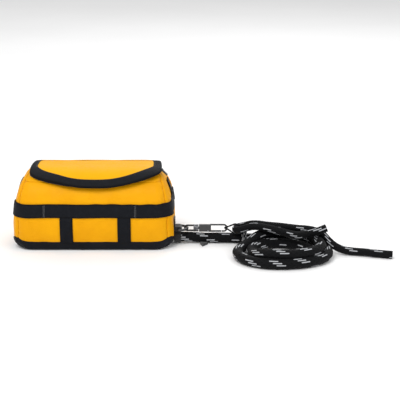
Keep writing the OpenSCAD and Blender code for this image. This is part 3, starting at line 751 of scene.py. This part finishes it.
def half_width(z):
    """Half width of the cross-section at height z."""
    if z < HEEL_R:
        return -HEEL_Y + sqrt(max(HEEL_R ** 2 - (HEEL_R - z) ** 2, 0))
    if z < BELLY_Z + 28 * MM:
        return sqrt(BELLY_R ** 2 - (z - BELLY_Z) ** 2) - BELLY_Y
    return -SHOULDER_Y + sqrt(max(SHOULDER_R ** 2 - (z - SHOULDER_Z) ** 2, 0))


def half_length(z):
    """Half length of the bag at height z: a round foot, then an end that leans in."""
    if z < FOOT_R:
        t = (FOOT_R - max(z, 0)) / FOOT_R
        return HALF_L - FOOT_IN * (1 - sqrt(max(0, 1 - t * t)))
    t = min(1.0, max(0.0, (z - LEAN_FROM) / (BODY_H - LEAN_FROM)))
    return MID_X + (HALF_L - MID_X) * (1 - t ** 2.1) ** 0.56


# Columns round the bag: in each quarter a straight side, a corner and a straight end
N_SIDE, N_CORNER, N_END = 31, 16, 12
QUARTER = N_SIDE + N_CORNER + N_END
COLUMNS = 4 * QUARTER
SEAM_COLUMN = N_SIDE + N_CORNER // 2


def quarter_point(c, a, b):
    """Point and outward normal at column c (0 to QUARTER) of the front right quarter."""
    rx = max(2.5 * MM, a - CORNER_X)
    ry = min(17 * MM, 0.8 * b)
    if c <= N_SIDE:
        return (a - rx) * c / N_SIDE, -b, 0.0, -1.0
    if c <= N_SIDE + N_CORNER:
        t = (c - N_SIDE) / N_CORNER * pi / 2
        nx, ny = sin(t) / rx, -cos(t) / ry
        size = hypot(nx, ny)
        return a - rx + rx * sin(t), -b + ry - ry * cos(t), nx / size, ny / size
    t = (c - N_SIDE - N_CORNER) / N_END
    return a - CROWN * (1 - sin(pi / 2 * t)), (-b + ry) * (1 - t), 1.0, 0.0


def plan_point(c, a, b):
    """The same for any column: quarters go front right, back right, back left, front left."""
    c = c % COLUMNS
    quarter, k = divmod(c, QUARTER)
    quarter = int(quarter)
    if quarter in (1, 3):
        k = QUARTER - k
    x, y, nx, ny = quarter_point(k, a, b)
    if quarter in (1, 2):
        y, ny = -y, -ny
    if quarter in (2, 3):
        x, nx = -x * LEFT_SHARE, -nx
    return x, y, nx, ny


def corner_seam(quarter):
    """Column of the quarter's corner seam."""
    return quarter * QUARTER + (SEAM_COLUMN if quarter in (0, 2) else QUARTER - SEAM_COLUMN)


def seam_distance(c):
    """Columns to the nearest corner seam, with its sign: positive towards the end."""
    best = COLUMNS
    for quarter in range(4):
        d = (c - corner_seam(quarter) + COLUMNS / 2) % COLUMNS - COLUMNS / 2
        if abs(d) < abs(best):
            best = d if quarter in (0, 2) else -d
    return best


def softness(c, z):
    """How far the skin stands off the plain shape: seam grooves, puckers and slack."""
    p = Vector((c * 0.16, z * 55, 3.1))
    out = 0.75 * MM * noise.noise(p) + 0.3 * MM * noise.noise(p * 2.7)
    out *= smooth(SEAM_Z + 4 * MM, SEAM_Z - 6 * MM, z)
    seam = seam_distance(c)
    out -= 0.55 * MM * exp(-(seam / 0.9) ** 2)
    out += 0.35 * MM * exp(-((seam - 1.6) / 1.0) ** 2)
    pucker = sin(z * 2 * pi / (6.1 * MM) + 1.4 * wobble(z * 160, 5, 1))
    out += 0.42 * MM * pucker * exp(-abs(seam) / 2.6)
    # Webbing pulls the skin in, and the skin swells above and below it
    under = smooth(GIRTH_Z0 - 3 * MM, GIRTH_Z0 + 2 * MM, z) * smooth(GIRTH_Z1 + 3 * MM, GIRTH_Z1 - 2 * MM, z)
    out = lerp(out, -0.5 * MM + 0.25 * out, under)
    near = max(GIRTH_Z0 - z, z - GIRTH_Z1)
    if near > 0:
        ruffle = wobble(c * 0.42, 9.0, 0.0)
        out += 0.55 * MM * ruffle * exp(-near / (4 * MM))
    return out


def skin_point(c, z, offset=0.0, soft=1.0):
    """A point on the bag's skin at column c and height z, pushed outwards by offset."""
    x, y, nx, ny = plan_point(c, half_length(z), half_width(z))
    lift = 0.0
    if z > SHOULDER_Z:
        lift = min(1.0, (z - SHOULDER_Z) / SHOULDER_R)
    o = offset + soft * softness(c, z)
    level = sqrt(max(0.0, 1 - lift * lift))
    return Vector((x + nx * o * level, y + ny * o * level, z + o * lift))


def around(c):
    """Distance round the bag at column c, in metres, for the cloth's own coordinates."""
    return ROUND[int(c)] + (ROUND[int(c) + 1] - ROUND[int(c)]) * (c - int(c))


def measure_round():
    """Distance from column 0 to each column, at the height of the belly."""
    edge = [plan_point(c, half_length(BELLY_Z), half_width(BELLY_Z))[:2] for c in range(COLUMNS + 2)]
    out = [0.0]
    for a, b in zip(edge, edge[1:]):
        out.append(out[-1] + dist(a, b))
    return out


ROUND = measure_round()


def grid_mesh(name, rows, closed, uv):
    """A sheet from rows of points; uv(i, j) gives the cloth coordinate of a grid corner."""
    width = len(rows[0])
    verts = [p for row in rows for p in row]
    faces, uvs = [], []
    for j in range(len(rows) - 1):
        for i in range(width if closed else width - 1):
            m = (i + 1) % width
            faces.append((j * width + i, j * width + m, (j + 1) * width + m, (j + 1) * width + i))
            uvs += [uv(i, j), uv(i + 1, j), uv(i + 1, j + 1), uv(i, j + 1)]
    return new_mesh(name, verts, faces, uvs)


# Heights of the skin's rows, close together over the shoulder
WALL_HEIGHTS = [z * MM for z in (1.5, 4, 7, 9.5, 12, 14.5, 17, 19.5, 22, 24.5, 27, 29, 31, 33, 35, 37.5,
                                 40, 42.5, 45, 47, 49, 51.5, 54, 56, 58, 60, 61, 62)]
SHOULDER_STEPS = 16


def shoulder_heights():
    a0 = asin((SEAM_Z - SHOULDER_Z) / SHOULDER_R)
    return [SHOULDER_Z + SHOULDER_R * sin(lerp(a0, pi / 2, i / SHOULDER_STEPS))
            for i in range(1, SHOULDER_STEPS + 1)]


def skin_rows():
    heights = WALL_HEIGHTS + shoulder_heights()
    rows = [[skin_point(c, z) for c in range(COLUMNS)] for z in heights]
    for k in (0.66, 0.33, 0.0):
        edge = [plan_point(c, half_length(BODY_H), half_width(BODY_H)) for c in range(COLUMNS)]
        rows.append([Vector((p[0] * lerp(0.95, 1, k), p[1] * k, BODY_H)) for p in edge])
    return heights, rows


def capped(move, most):
    return move * (most / move.length) if move.length > most else move


def puff(rows, pinned):
    """Blow the skin out a little between its seams and webbing, as air and foam do."""
    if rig.quick():
        return rows
    width = len(rows[0])
    ob = grid_mesh("puff_cloth", rows, True, lambda i, j: (0, 0))
    group = ob.vertex_groups.new(name="pin")
    for index in range(len(ob.data.vertices)):
        j, i = divmod(index, width)
        group.add([index], pinned(i, j), "REPLACE")
    cloth = ob.modifiers.new("cloth", "CLOTH")
    settings = cloth.settings
    settings.use_pressure = True
    settings.uniform_pressure_force = 4.0
    settings.tension_stiffness = 40
    settings.compression_stiffness = 40
    settings.bending_stiffness = 2.0
    settings.vertex_group_mass = "pin"
    settings.quality = 6
    settings.effector_weights.gravity = 0
    cloth.point_cache.frame_end = 20
    scene = bpy.context.scene
    for number in range(1, 16):
        scene.frame_set(number)
    shaped = ob.evaluated_get(bpy.context.evaluated_depsgraph_get())
    moves = [v.co - p for v, p in zip(shaped.data.vertices, (p for row in rows for p in row))]
    out = [[p + capped(moves[j * width + i], PUFF_MOST) for i, p in enumerate(row)]
           for j, row in enumerate(rows)]
    scene.frame_set(1)
    bpy.data.objects.remove(ob)
    return out


def skin_pinned(i, j):
    """Pin weight of the skin's grid corner: seams, foot, top and webbing are held."""
    z = ALL_HEIGHTS[j] if j < len(ALL_HEIGHTS) else BODY_H
    sewn = z < 8 * MM or z > SEAM_Z - 1 * MM or GIRTH_Z0 - 1 * MM < z < GIRTH_Z1 + 1 * MM
    return 1.0 if sewn or abs(seam_distance(i)) < 1.2 else 0.0


ALL_HEIGHTS, SKIN = skin_rows()
SKIN = puff(SKIN, skin_pinned)


def panel(name, columns, last_row, replaces):
    """One panel of the skin: a run of columns up to a row, with its own thickness."""
    rows = [[row[c % COLUMNS] for c in columns] for row in SKIN[:last_row + 1]]

    def uv(i, j):
        return around((columns[0] + i) % COLUMNS), ALL_HEIGHTS[j]

    ob = grid_mesh(name, rows, False, uv)
    tidy_normals(ob, WELD)
    solidify(ob, SKIN_T)
    subdivide(ob)
    return piece(ob, "bag", YELLOW, "yellow_tarpaulin", replaces)


SEAM_ROW = len(WALL_HEIGHTS) + 3  # the wall runs on up to the zip tape, which hides its edge
TOP_ROW = len(SKIN) - 1
FRONT = range(COLUMNS - SEAM_COLUMN, COLUMNS + SEAM_COLUMN + 1)
RIGHT = range(SEAM_COLUMN, 2 * QUARTER - SEAM_COLUMN + 1)
BACK = range(2 * QUARTER - SEAM_COLUMN, 2 * QUARTER + SEAM_COLUMN + 1)
LEFT = range(2 * QUARTER + SEAM_COLUMN, COLUMNS - SEAM_COLUMN + 1)


def make_panels():
    top = len(ALL_HEIGHTS) - 1
    walls = [("front_wall", FRONT, SEAM_ROW, "front_panel"),
             ("back_wall", BACK, SEAM_ROW, "back_panel"),
             ("end_wall_right", RIGHT, top, "end_panel_right"),
             ("end_wall_left", LEFT, top, "end_panel_left")]
    for name, columns, last_row, node in walls:
        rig.padded(panel(name, columns, last_row, [node]), fill=0.55)


def make_seam_tapes():
    """A tape behind each corner seam, which closes the joint from inside."""
    for quarter in range(4):
        at = corner_seam(quarter)
        rows = []
        for skin_row in SKIN[:len(ALL_HEIGHTS)]:
            row = []
            for c in range(at - 3, at + 4):
                nx, ny = plan_point(c, HALF_L, HALF_W)[2:]
                row.append(skin_row[c % COLUMNS] - Vector((nx, ny, 0.35)) * 0.55 * MM)
            rows.append(row)
        ob = grid_mesh("corner_tape_%d" % quarter, rows, False, lambda i, j: (i * MM, j * MM))
        piece(ob, "bag", YELLOW, "yellow_tarpaulin")


make_panels()
make_seam_tapes()


# ---- flap outline
# The flap's outline at its rim and at the binding's inner edge: centre, half length and reach
FLAP_YC = -17 * MM
RIM = (3.4 * MM, FLAP_YC, 64.8 * MM, 20.8 * MM)
BIND_INNER = (2.5 * MM, -5 * MM, 57.2 * MM, 27.2 * MM)
# The outlines of the zip rows and the mouth, as insets from the plain outline in CAD
ZIP_NOSE = 19.8 * MM
MOUTH_INSET = 11 * MM
FLAP_TAPER = 5 * MM  # how far the flap's sides draw in at the back
ROW_BACK = 22 * MM


def oval(t, cx, cy, a, b, taper=FLAP_TAPER):
    """Point of a D at t: 0 at the back right corner, 1 and 2 at the ends of the round front, 3 at
    the back left corner."""
    if 1 < t <= 2:
        angle = pi * (t - 1)
        return cx + a * cos(angle), cy - b * sin(angle)
    side, near_back = (1, 1 - t) if t <= 1 else (-1, t - 2)
    return cx + side * (a - taper * near_back ** 3), lerp(cy, FLAP_BACK, near_back)


def zip_outline(t, inset):
    """Point at t of the zip's D, inset from the plain outline of the flap."""
    return oval(t, 0, FLAP_YC, FLAP_LENGTH / 2 - inset, ZIP_NOSE - inset, 0)


def flap_outline(share):
    """The flap's outline at a share of the way from the rim to the binding's inner edge."""
    return [lerp(rim, inner, share) for rim, inner in zip(RIM, BIND_INNER)]


def flap_edge(t, share=0.0):
    """Point at t along the flap's edge."""
    return oval(t, *flap_outline(share))


def flap_front(x, share):
    """Front of the flap's outline at x."""
    cx, cy, a, b = flap_outline(share)
    return cy - b * sqrt(max(0.0, 1 - ((x - cx) / a) ** 2))


def flap_height(y, lift):
    """Height at y of a layer that lies lift above the bag's plain shape."""
    reach = max(0.0, abs(y) + SHOULDER_Y)
    return SHOULDER_Z + sqrt(max(0.0, (SHOULDER_R + lift) ** 2 - reach ** 2))


def flap_sag(x, y):
    """Slack of the flap: long soft waves, and a left front corner that hangs lower."""
    wave = 0.4 * MM * wobble(x * 38, y * 30, 4.0)
    front = smooth(-2 * MM, -30 * MM, y)
    left = smooth(-30 * MM, -60 * MM, x)
    dish = 0.3 * MM * sin(x * 2 * pi / (46 * MM) + 0.8) * front
    return wave + dish - front * left * 2.6 * MM - 0.8 * MM * smooth(50 * MM, 66 * MM, abs(x))


def flap_point(x, y, lift):
    """A point of a flap layer, with the flap's sag."""
    return Vector((x, y, flap_height(y, lift) + flap_sag(x, y)))


# ---- mouth panel, base and webbing
def along_outline(inset, back, t0=0.0, t1=3.0, count=120):
    """Points of the flap's outline at an inset, ending at y = back."""
    points = []
    for i in range(count + 1):
        x, y = zip_outline(lerp(t0, t1, i / count), inset)
        if y <= back:
            points.append((x, y))
    return points


def inside_mouth(x, y):
    """True where the D-shaped mouth is cut out of the top."""
    a, b = FLAP_LENGTH / 2 - MOUTH_INSET, ZIP_NOSE - MOUTH_INSET
    if y > ROW_BACK or abs(x) > a:
        return False
    return y > FLAP_YC - b * sqrt(max(0.0, 1 - (x / a) ** 2))


def to_mouth_edge(p):
    """The nearest point of the mouth's edge, at the height of the bag's top."""
    edge = along_outline(MOUTH_INSET, ROW_BACK, count=400)
    low_x, high_x = edge[-1][0], edge[0][0]
    edge += [(lerp(low_x, high_x, i / 120), ROW_BACK) for i in range(121)]
    x, y = min(edge, key=lambda q: (q[0] - p.x) ** 2 + (q[1] - p.y) ** 2)
    return Vector((x, y, flap_height(y, 0.0)))


def make_mouth_panel():
    """The yellow panel round the zip, with the D-shaped mouth cut out of it."""
    rows = [SKIN[j] for j in range(SEAM_ROW, TOP_ROW + 1)]
    keep = set(c % COLUMNS for c in FRONT[:-1]) | set(c % COLUMNS for c in BACK[:-1])
    ends_until = len(ALL_HEIGHTS) - 1 - SEAM_ROW
    verts = [p for row in rows for p in row]
    faces = []
    for j in range(len(rows) - 1):
        for c in range(COLUMNS):
            m = (c + 1) % COLUMNS
            face = (j * COLUMNS + c, j * COLUMNS + m, (j + 1) * COLUMNS + m, (j + 1) * COLUMNS + c)
            middle = sum((verts[k] for k in face), Vector()) / 4
            if (c in keep or j >= ends_until) and not inside_mouth(middle.x, middle.y):
                faces.append(face)
    ob = new_mesh("mouth_cover", verts, faces)
    bm = bmesh.new()
    bm.from_mesh(ob.data)
    bmesh.ops.remove_doubles(bm, verts=bm.verts, dist=WELD)
    bmesh.ops.delete(bm, geom=[v for v in bm.verts if not v.link_faces], context="VERTS")
    for v in bm.verts:
        near = v.co.z > SEAM_Z + 4.5 * MM and abs(v.co.x) < FLAP_LENGTH / 2 - 6 * MM
        if near and v.is_boundary:
            v.co = to_mouth_edge(v.co)
    bmesh.ops.recalc_face_normals(bm, faces=bm.faces)
    bm.to_mesh(ob.data)
    bm.free()
    solidify(ob, SKIN_T)
    piece(ob, "bag", YELLOW, "yellow_tarpaulin", ["mouth_panel"])
    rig.padded(ob, fill=0.3)


def bake(ob):
    """Apply an object's modifiers to its mesh."""
    shaped = ob.evaluated_get(bpy.context.evaluated_depsgraph_get())
    mesh = bpy.data.meshes.new_from_object(shaped)
    ob.modifiers.clear()
    ob.data = mesh


BASE_RIM, BASE_PROUD = 8.4 * MM, 0.7 * MM


def base_rim(c):
    """Height of the black base's upper edge at column c: higher round the corners."""
    k = c % QUARTER if (int(c % COLUMNS) // QUARTER) in (0, 2) else QUARTER - c % QUARTER
    lift = 3.4 * MM * exp(-((k - SEAM_COLUMN - 2) / 5.0) ** 2)
    return BASE_RIM + lift + 0.25 * MM * wobble(c * 0.3, 0, 8)


def make_base():
    """The black base: flat below, up the walls to its rim, and rolled in at the edge."""
    foot = [skin_point(c, 0.6 * MM, BASE_PROUD, 0.0) for c in range(COLUMNS)]
    rows = [[Vector((p.x * k, p.y * k, 0.0)) for p in foot] for k in (0.0, 0.4, 0.8, 0.97)]
    steps = 9
    for i in range(steps + 1):
        rows.append([skin_point(c, lerp(0.5 * MM, base_rim(c), i / steps), BASE_PROUD, 0.8)
                     for c in range(COLUMNS)])
    # The rolled edge, in mm: how far out of the skin and how far above the rim
    for out, up in ((0.5, 0.15), (0.35, 0.6), (-0.5, 0.5)):
        rows.append([skin_point(c, base_rim(c) + up * MM, out * MM, 0.8) for c in range(COLUMNS)])
    heights = [0, 0.02, 0.04, 0.05] + [0.051 + MM * i for i in range(steps + 4)]
    ob = grid_mesh("base_cover", rows, True, lambda i, j: (around(i % COLUMNS), heights[j]))
    tidy_normals(ob, WELD)
    subdivide(ob)
    piece(ob, "bag", BASE_BLACK, "black_base", ["base_panel"])
    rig.padded(ob, fill=0.4)


WEB_T = 1.3 * MM
WEB_EDGE = [(0.0, -0.25), (0.0, 0.7), (0.035, 1.0), (0.12, 1.04), (0.5, 1.0), (0.88, 1.04), (0.965, 1.0),
            (1.0, 0.7), (1.0, -0.25)]


def ribbon(name, stations, closed, material, slot, replaces, body="bag", profile=WEB_EDGE):
    """A thick woven tape. Each station gives its distance along the tape, and a function of the
    share across it and the height."""
    section = []
    for (v0, h0), (v1, h1) in zip(profile, profile[1:]):
        parts = max(1, round(abs(v1 - v0) * 14))
        section += [(lerp(v0, v1, m / parts), lerp(h0, h1, m / parts)) for m in range(parts)]
    section.append(profile[-1])
    verts = [at(v, h) for _, at in stations for v, h in section]
    shares = [v for v, _ in section]
    width, n = len(section), len(stations)
    faces, uvs = [], []
    for j in range(n if closed else n - 1):
        m = (j + 1) % n
        d0 = stations[j][0]
        d1 = stations[m][0] if m else d0 + (stations[1][0] - stations[0][0])
        for i in range(width - 1):
            faces.append((j * width + i, j * width + i + 1, m * width + i + 1, m * width + i))
            uvs += [(d0, shares[i]), (d0, shares[i + 1]), (d1, shares[i + 1]), (d1, shares[i])]
    for j in () if closed else (0, n - 1):
        faces.append(tuple(j * width + i for i in range(width)))
        uvs += [(stations[j][0], v) for v in shares]
    ob = tidy_normals(new_mesh(name, verts, faces, uvs))
    piece(ob, body, material, slot, replaces)


def make_girth():
    stations = []
    for c in range(COLUMNS):
        scallop = 0.12 * MM * sin(around(c) * 2 * pi / (17 * MM)) + 0.08 * MM * sin(c * 0.7)

        def at(v, h, c=c, scallop=scallop):
            z = lerp(GIRTH_Z0, GIRTH_Z1 + scallop * v, v) + 0.2 * MM * sin(c * 0.21)
            ripple = 0.18 * MM * wobble(c * 0.5, v * 2.0, 0)
            return skin_point(c, z, h * WEB_T + ripple, 0.6)

        stations.append((around(c), at))
    ribbon("girth_band", stations, True, WEBBING, "black_webbing", ["girth_webbing"])


def column_at_x(x, side):
    """Column whose point on the straight side lies at x; side is -1 at the front."""
    share = abs(x) / CORNER_X * N_SIDE
    if side < 0:
        return share if x >= 0 else COLUMNS - share
    return 2 * QUARTER - share if x >= 0 else 2 * QUARTER + share


def make_wall_strap(name, x, side, node):
    """A strap from under the base's rim up under the girth webbing."""
    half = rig.box(node)[1][0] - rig.box(node)[0][0]
    c0, c1 = column_at_x(x - half / 2, side), column_at_x(x + half / 2, side)
    stations = []
    steps = 18
    for i in range(steps + 1):
        z = lerp(8.0 * MM, GIRTH_Z0 + 2 * MM, i / steps)

        def at(v, h, z=z):
            sink = 0.9 * MM * smooth(GIRTH_Z0 - 1.5 * MM, GIRTH_Z0 + 1.5 * MM, z)
            return skin_point(lerp(c0, c1, v), z, h * WEB_T - sink, 0.7)

        stations.append((z, at))
    ribbon(name, stations, False, WEBBING, "black_webbing", [node])


def make_end_strap(name, side, node):
    middle = QUARTER if side > 0 else 3 * QUARTER
    half = 6.5 * MM
    stations = []
    steps = 14
    for i in range(steps + 1):
        z = lerp(GIRTH_Z1 - 2 * MM, SEAM_Z, i / steps)

        def at(v, h, z=z):
            p = skin_point(middle, z, (h * 0.8 - 0.1) * WEB_T, 0.3)
            sink = 0.9 * MM * smooth(GIRTH_Z1 + 1.5 * MM, GIRTH_Z1 - 1.5 * MM, z)
            return Vector((p.x - side * sink, side * lerp(-half, half, v), p.z))

        stations.append((z, at))
    ribbon(name, stations, False, WEBBING, "black_webbing", [node])


def make_straps():
    for label in ("left", "right"):
        for face, side in (("front", -1), ("back", 1)):
            node = face + "_strap_" + label
            low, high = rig.box(node)
            make_wall_strap(face + "_band_" + label, (low[0] + high[0]) / 2, side, node)
        make_end_strap("end_band_" + label, -1 if label == "left" else 1, "end_strap_" + label)


def make_tacks():
    """Zig-zag bar tacks across the girth webbing, front and back."""
    verts, faces = [], []
    low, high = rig.box("bar_tacks")
    for x in (low[0] + 0.8 * MM, high[0] - 0.8 * MM):
        for side in (-1, 1):
            c = column_at_x(x, side)
            steps = 26
            for i in range(steps):
                z = lerp(GIRTH_Z0 + 1.2 * MM, GIRTH_Z1 - 1.2 * MM, i / (steps - 1))
                lean = 0.28 * MM * (1 if i % 2 else -1)
                a = skin_point(c - 0.45, z - lean, WEB_T + 0.12 * MM, 0.6)
                b = skin_point(c + 0.45, z + lean, WEB_T + 0.12 * MM, 0.6)
                out = skin_point(c, z, WEB_T + 0.5 * MM, 0.6)
                up = Vector((0, 0, 0.24 * MM))
                first = len(verts)
                verts += [a - up, a + up, out + up, out - up, b - up, b + up]
                for face in ((0, 1, 2, 3), (3, 2, 5, 4)):
                    faces.append(tuple(first + k for k in face))
    ob = new_mesh("tack_threads", verts, faces)
    solidify(ob, 0.2 * MM)
    piece(ob, "bag", THREAD, "black_webbing", ["bar_tacks"])


make_mouth_panel()
make_base()
make_girth()
make_straps()
make_tacks()


# ---- flap
PANEL_LIFT, PANEL_T = 5.7 * MM, 1.5 * MM


def make_flap_cover():
    """The flap's yellow panel, with rows from its round front to its straight back."""
    across, deep = 96, 46
    share = 0.6
    middle, _, a, _ = flap_outline(share)
    rows = []
    for j in range(deep + 1):
        row = []
        for i in range(across + 1):
            x = middle + a * sin(lerp(-pi / 2, pi / 2, i / across))
            y = lerp(flap_front(x, share), FLAP_BACK - 1.6 * MM, j / deep)
            draw = max(0.0, (y - FLAP_YC) / (FLAP_BACK - FLAP_YC))
            x = middle + (x - middle) * (1 - FLAP_TAPER / a * draw ** 3)
            row.append(flap_point(x, y, PANEL_LIFT))
        rows.append(row)
    ob = grid_mesh("flap_cover", rows, False, lambda i, j: (rows[j][i].x, rows[j][i].y))
    tidy_normals(ob)
    solidify(ob, PANEL_T, -1.0)
    subdivide(ob)
    piece(ob, "flap", LIT_FLAP_YELLOW, "yellow_tarpaulin", ["flap_panel"])
    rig.padded(ob, fill=0.2)


# The binding's section: (share of its width in from the rim, height above the panel's underside)
BIND_PROFILE = [(1.0, -0.15), (0.96, 0.55), (0.5, 0.72), (0.12, 0.55), (0.0, 0.1), (-0.02, -0.5),
                (0.0, -1.2), (0.12, -1.7), (0.5, -1.85), (0.96, -1.8), (1.0, -1.4)]


def make_binding():
    """The folded black tape round the flap's edge."""
    count = 210
    stations, distance = [], 0.0
    for s in range(count + 1):
        t = 3.0 * s / count
        if s:
            distance += dist(flap_edge(t), flap_edge(3.0 * (s - 1) / count))
        bunch = 0.25 * MM * wobble(s * 0.35, 0, 6)

        def at(v, h, t=t, bunch=bunch):
            px, py = flap_edge(t, v)
            py = min(py, FLAP_BACK - 0.8 * MM)
            p = flap_point(px, py, PANEL_LIFT)
            p.z += h * MM + bunch * (1 - v)
            return p

        stations.append((distance, at))
    ribbon("flap_edge_tape", stations, False, BINDING, "black_webbing", ["flap_binding"], "flap",
           BIND_PROFILE)


def stitch(p, ahead, length, radius, first):
    """Points and faces of one raised stitch at p; first is the number of its first point."""
    side = ahead.cross(Vector((0, 0, 1)))
    side = side.normalized() if side.length > 1e-4 else Vector((1, 0, 0))
    up = side.cross(ahead).normalized()
    sides = 6
    verts, faces = [], []
    # Rings along the stitch: place in its length, and share of the radius
    rings = ((-0.5, 0.25), (-0.3, 0.9), (0.0, 1.1), (0.3, 0.9), (0.5, 0.25))
    for along, thick in rings:
        for k in range(sides):
            a = 2 * pi * k / sides
            out = (side * cos(a) + up * sin(a)) * radius * thick
            verts.append(p + ahead * length * along + out)
    for j in range(len(rings) - 1):
        low, high = first + j * sides, first + (j + 1) * sides
        for k in range(sides):
            m = (k + 1) % sides
            faces.append((low + k, low + m, high + m, high + k))
    return verts, faces


def make_flap_stitches():
    """A row of short raised stitches near the binding's inner edge."""
    length, gap, radius = 2.1 * MM, 0.9 * MM, 0.22 * MM
    count, share = 149, 0.86
    line = []
    for s in range(count + 1):
        x, y = flap_edge(3.0 * s / count, share)
        line.append(flap_point(x, min(y, FLAP_BACK - 2 * MM), PANEL_LIFT) + Vector((0, 0, 0.62 * MM)))
    path = spline(line, 0.6 * MM)
    verts, faces, travelled = [], [], 0.0
    for a, b in zip(path, path[1:]):
        travelled += (b - a).length
        if travelled >= length + gap:
            more_verts, more_faces = stitch(b, (b - a).normalized(), length, radius, len(verts))
            verts += more_verts
            faces += more_faces
            travelled = 0.0
    piece(new_mesh("flap_stitches", verts, faces), "flap", THREAD)


def make_hinge_cover():
    """The strip of coated fabric that the flap turns on, from the back wall to the flap's top."""
    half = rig.box("flap_hinge_strip")[1][0]
    across = 60
    # Each row: angle round the back shoulder in degrees, and distance from its centre in mm
    deep = [(16, 30.1), (22, 30.3), (28, 30.6), (34, 31.3), (40, 32.4), (46, 33.8), (51, 35.1), (55, 35.9),
            (60, 36.0), (65, 35.9), (70, 35.8), (75, 35.6)]
    rows = []
    for degrees, reach in deep:
        angle = radians(degrees)
        y, z = reach * MM * cos(angle) - SHOULDER_Y, reach * MM * sin(angle) + SHOULDER_Z
        on_flap = smooth(52, 60, degrees)
        row = []
        for i in range(across + 1):
            x = lerp(-half, half, i / across)
            wave = 0.3 * MM * wobble(x * 60, degrees * 0.05, 2.0)
            row.append(Vector((x, y + wave * 0.5, z + flap_sag(x, y) * on_flap + wave)))
        rows.append(row)
    ob = grid_mesh("hinge_cover", rows, False, lambda i, j: (rows[j][i].x, rows[j][i].y))
    tidy_normals(ob)
    solidify(ob, 0.7 * MM, 0.0)
    subdivide(ob)
    bake(ob)
    paint(ob, LIT_FLAP_YELLOW)
    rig.slot(ob, "yellow_tarpaulin")
    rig.blend(ob, "bag", "flap", start=(0, 0.0324, 0.0672), end=(0, 0.0264, 0.0732))


def coil_teeth(name, inset, lift, back, body, node, t0=0.0, t1=3.0):
    """A zip row: a nylon coil wound along the flap's outline."""
    line = [(x, y, flap_height(y, lift)) for x, y in along_outline(inset, back, t0, t1, 260)]
    path = spline(line, 0.32 * MM)
    loops, run = [], 0.0
    for a, b in zip(path, path[1:]):
        d = (b - a).normalized()
        side = d.cross(Vector((0, 0, 1))).normalized()
        up = side.cross(d)
        turn = run / (1.4 * MM) * 2 * pi
        loops.append(a + side * cos(turn) * 0.85 * MM + up * sin(turn) * 0.5 * MM)
        run += (b - a).length
    ob = tube(name, loops, 0.3 * MM, 5)
    piece(ob, body, ZIP_PLASTIC, "zip_black", [node])


make_flap_cover()
make_binding()
make_flap_stitches()
make_hinge_cover()
coil_teeth("zip_teeth_lower", 6.7 * MM, 1.5 * MM, 20 * MM, "bag", "zip_coil_lower")
coil_teeth("zip_teeth_upper", 9.0 * MM, 1.6 * MM, 16 * MM, "flap", "zip_coil_upper", 1.0, 3.0)


# ---- finishes of the CAD's own parts
def finish_nodes():
    finishes = {
        FOAM: ("base_foam", "front_foam", "back_foam", "end_foam_right", "flap_foam"),
        YELLOW: ("flap_hinge_strip",),
        ZIP_TAPE: ("zip_tape_lower", "zip_tape_upper"),
        STEEL: ("zip_stops", "gate_pin", "gate_spring"),
        GUN_METAL: ("ferrule",),
        BLACK_METAL: ("tow_ring", "hook_body", "hook_gate", "zip_slider", "zip_pull"),
        TOW_FABRIC: ("tow_tab", "rope_anchor", "leader", "leader_end"),
    }
    for material, names in finishes.items():
        for name in names:
            paint(frame["nodes"][name], material)


def make_left_pad():
    """The left end's foam, drawn in with the shorter left end of the skin."""
    source = frame["nodes"]["end_foam_left"]
    ob = add_object("end_pad_left", source.data.copy())
    for v in ob.data.vertices:
        place = source.matrix_world @ v.co
        v.co = Vector((place.x * LEFT_SHARE + LEFT_PAD_IN, place.y, place.z))
    piece(ob, "bag", FOAM, "foam", ["end_foam_left"])


finish_nodes()
make_left_pad()


# ---- floor and light
def make_floor():
    s = Shader("studio_floor", (0.92, 0.92, 0.92), 0.85)
    s.base(s.mix(s.range(s.noise(s.place(), 3.0), 0.3, 0.7, 0, 1), (0.90, 0.90, 0.90), (0.93, 0.93, 0.93)))
    half = 3.0
    corners = [(-half, -half, 0), (half, -half, 0), (half, half, 0), (-half, half, 0)]
    ob = new_mesh("floor", corners, [(0, 1, 2, 3)])
    ob.location = (0, 0, -0.0003)
    paint(ob, s.mat)
    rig.stage(ob)


def area_light(name, place, target, size, power):
    data = bpy.data.lights.new(name, "AREA")
    data.shape = "DISK"
    data.size = size
    data.energy = power
    ob = add_object(name, data)
    ob.location = place
    ob.rotation_euler = (Vector(target) - Vector(place)).to_track_quat("-Z", "Y").to_euler()


def make_light():
    world = bpy.data.worlds.new("studio")
    bpy.context.scene.world = world
    world.use_nodes = True
    sky = world.node_tree.nodes["Background"].inputs
    sky["Color"].default_value = (1, 1, 1, 1)
    sky["Strength"].default_value = 0.72
    middle = (0.08, 0, 0.03)
    area_light("key", (-0.5, -0.9, 1.5), middle, 1.0, 16)
    area_light("fill", (1.2, -0.8, 0.9), middle, 1.2, 5)
    area_light("rim", (0.3, 1.2, 1.1), middle, 1.0, 6)
    bpy.context.scene.view_settings.view_transform = "Standard"


make_floor()
make_light()


def write_size():
    low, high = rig.bounds()
    sizes = {"cad": [list(cad_low), list(cad_high)], "visual": [list(low), list(high)]}
    with open("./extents.json", "w") as out:
        json.dump(sizes, out, indent=1)


write_size()
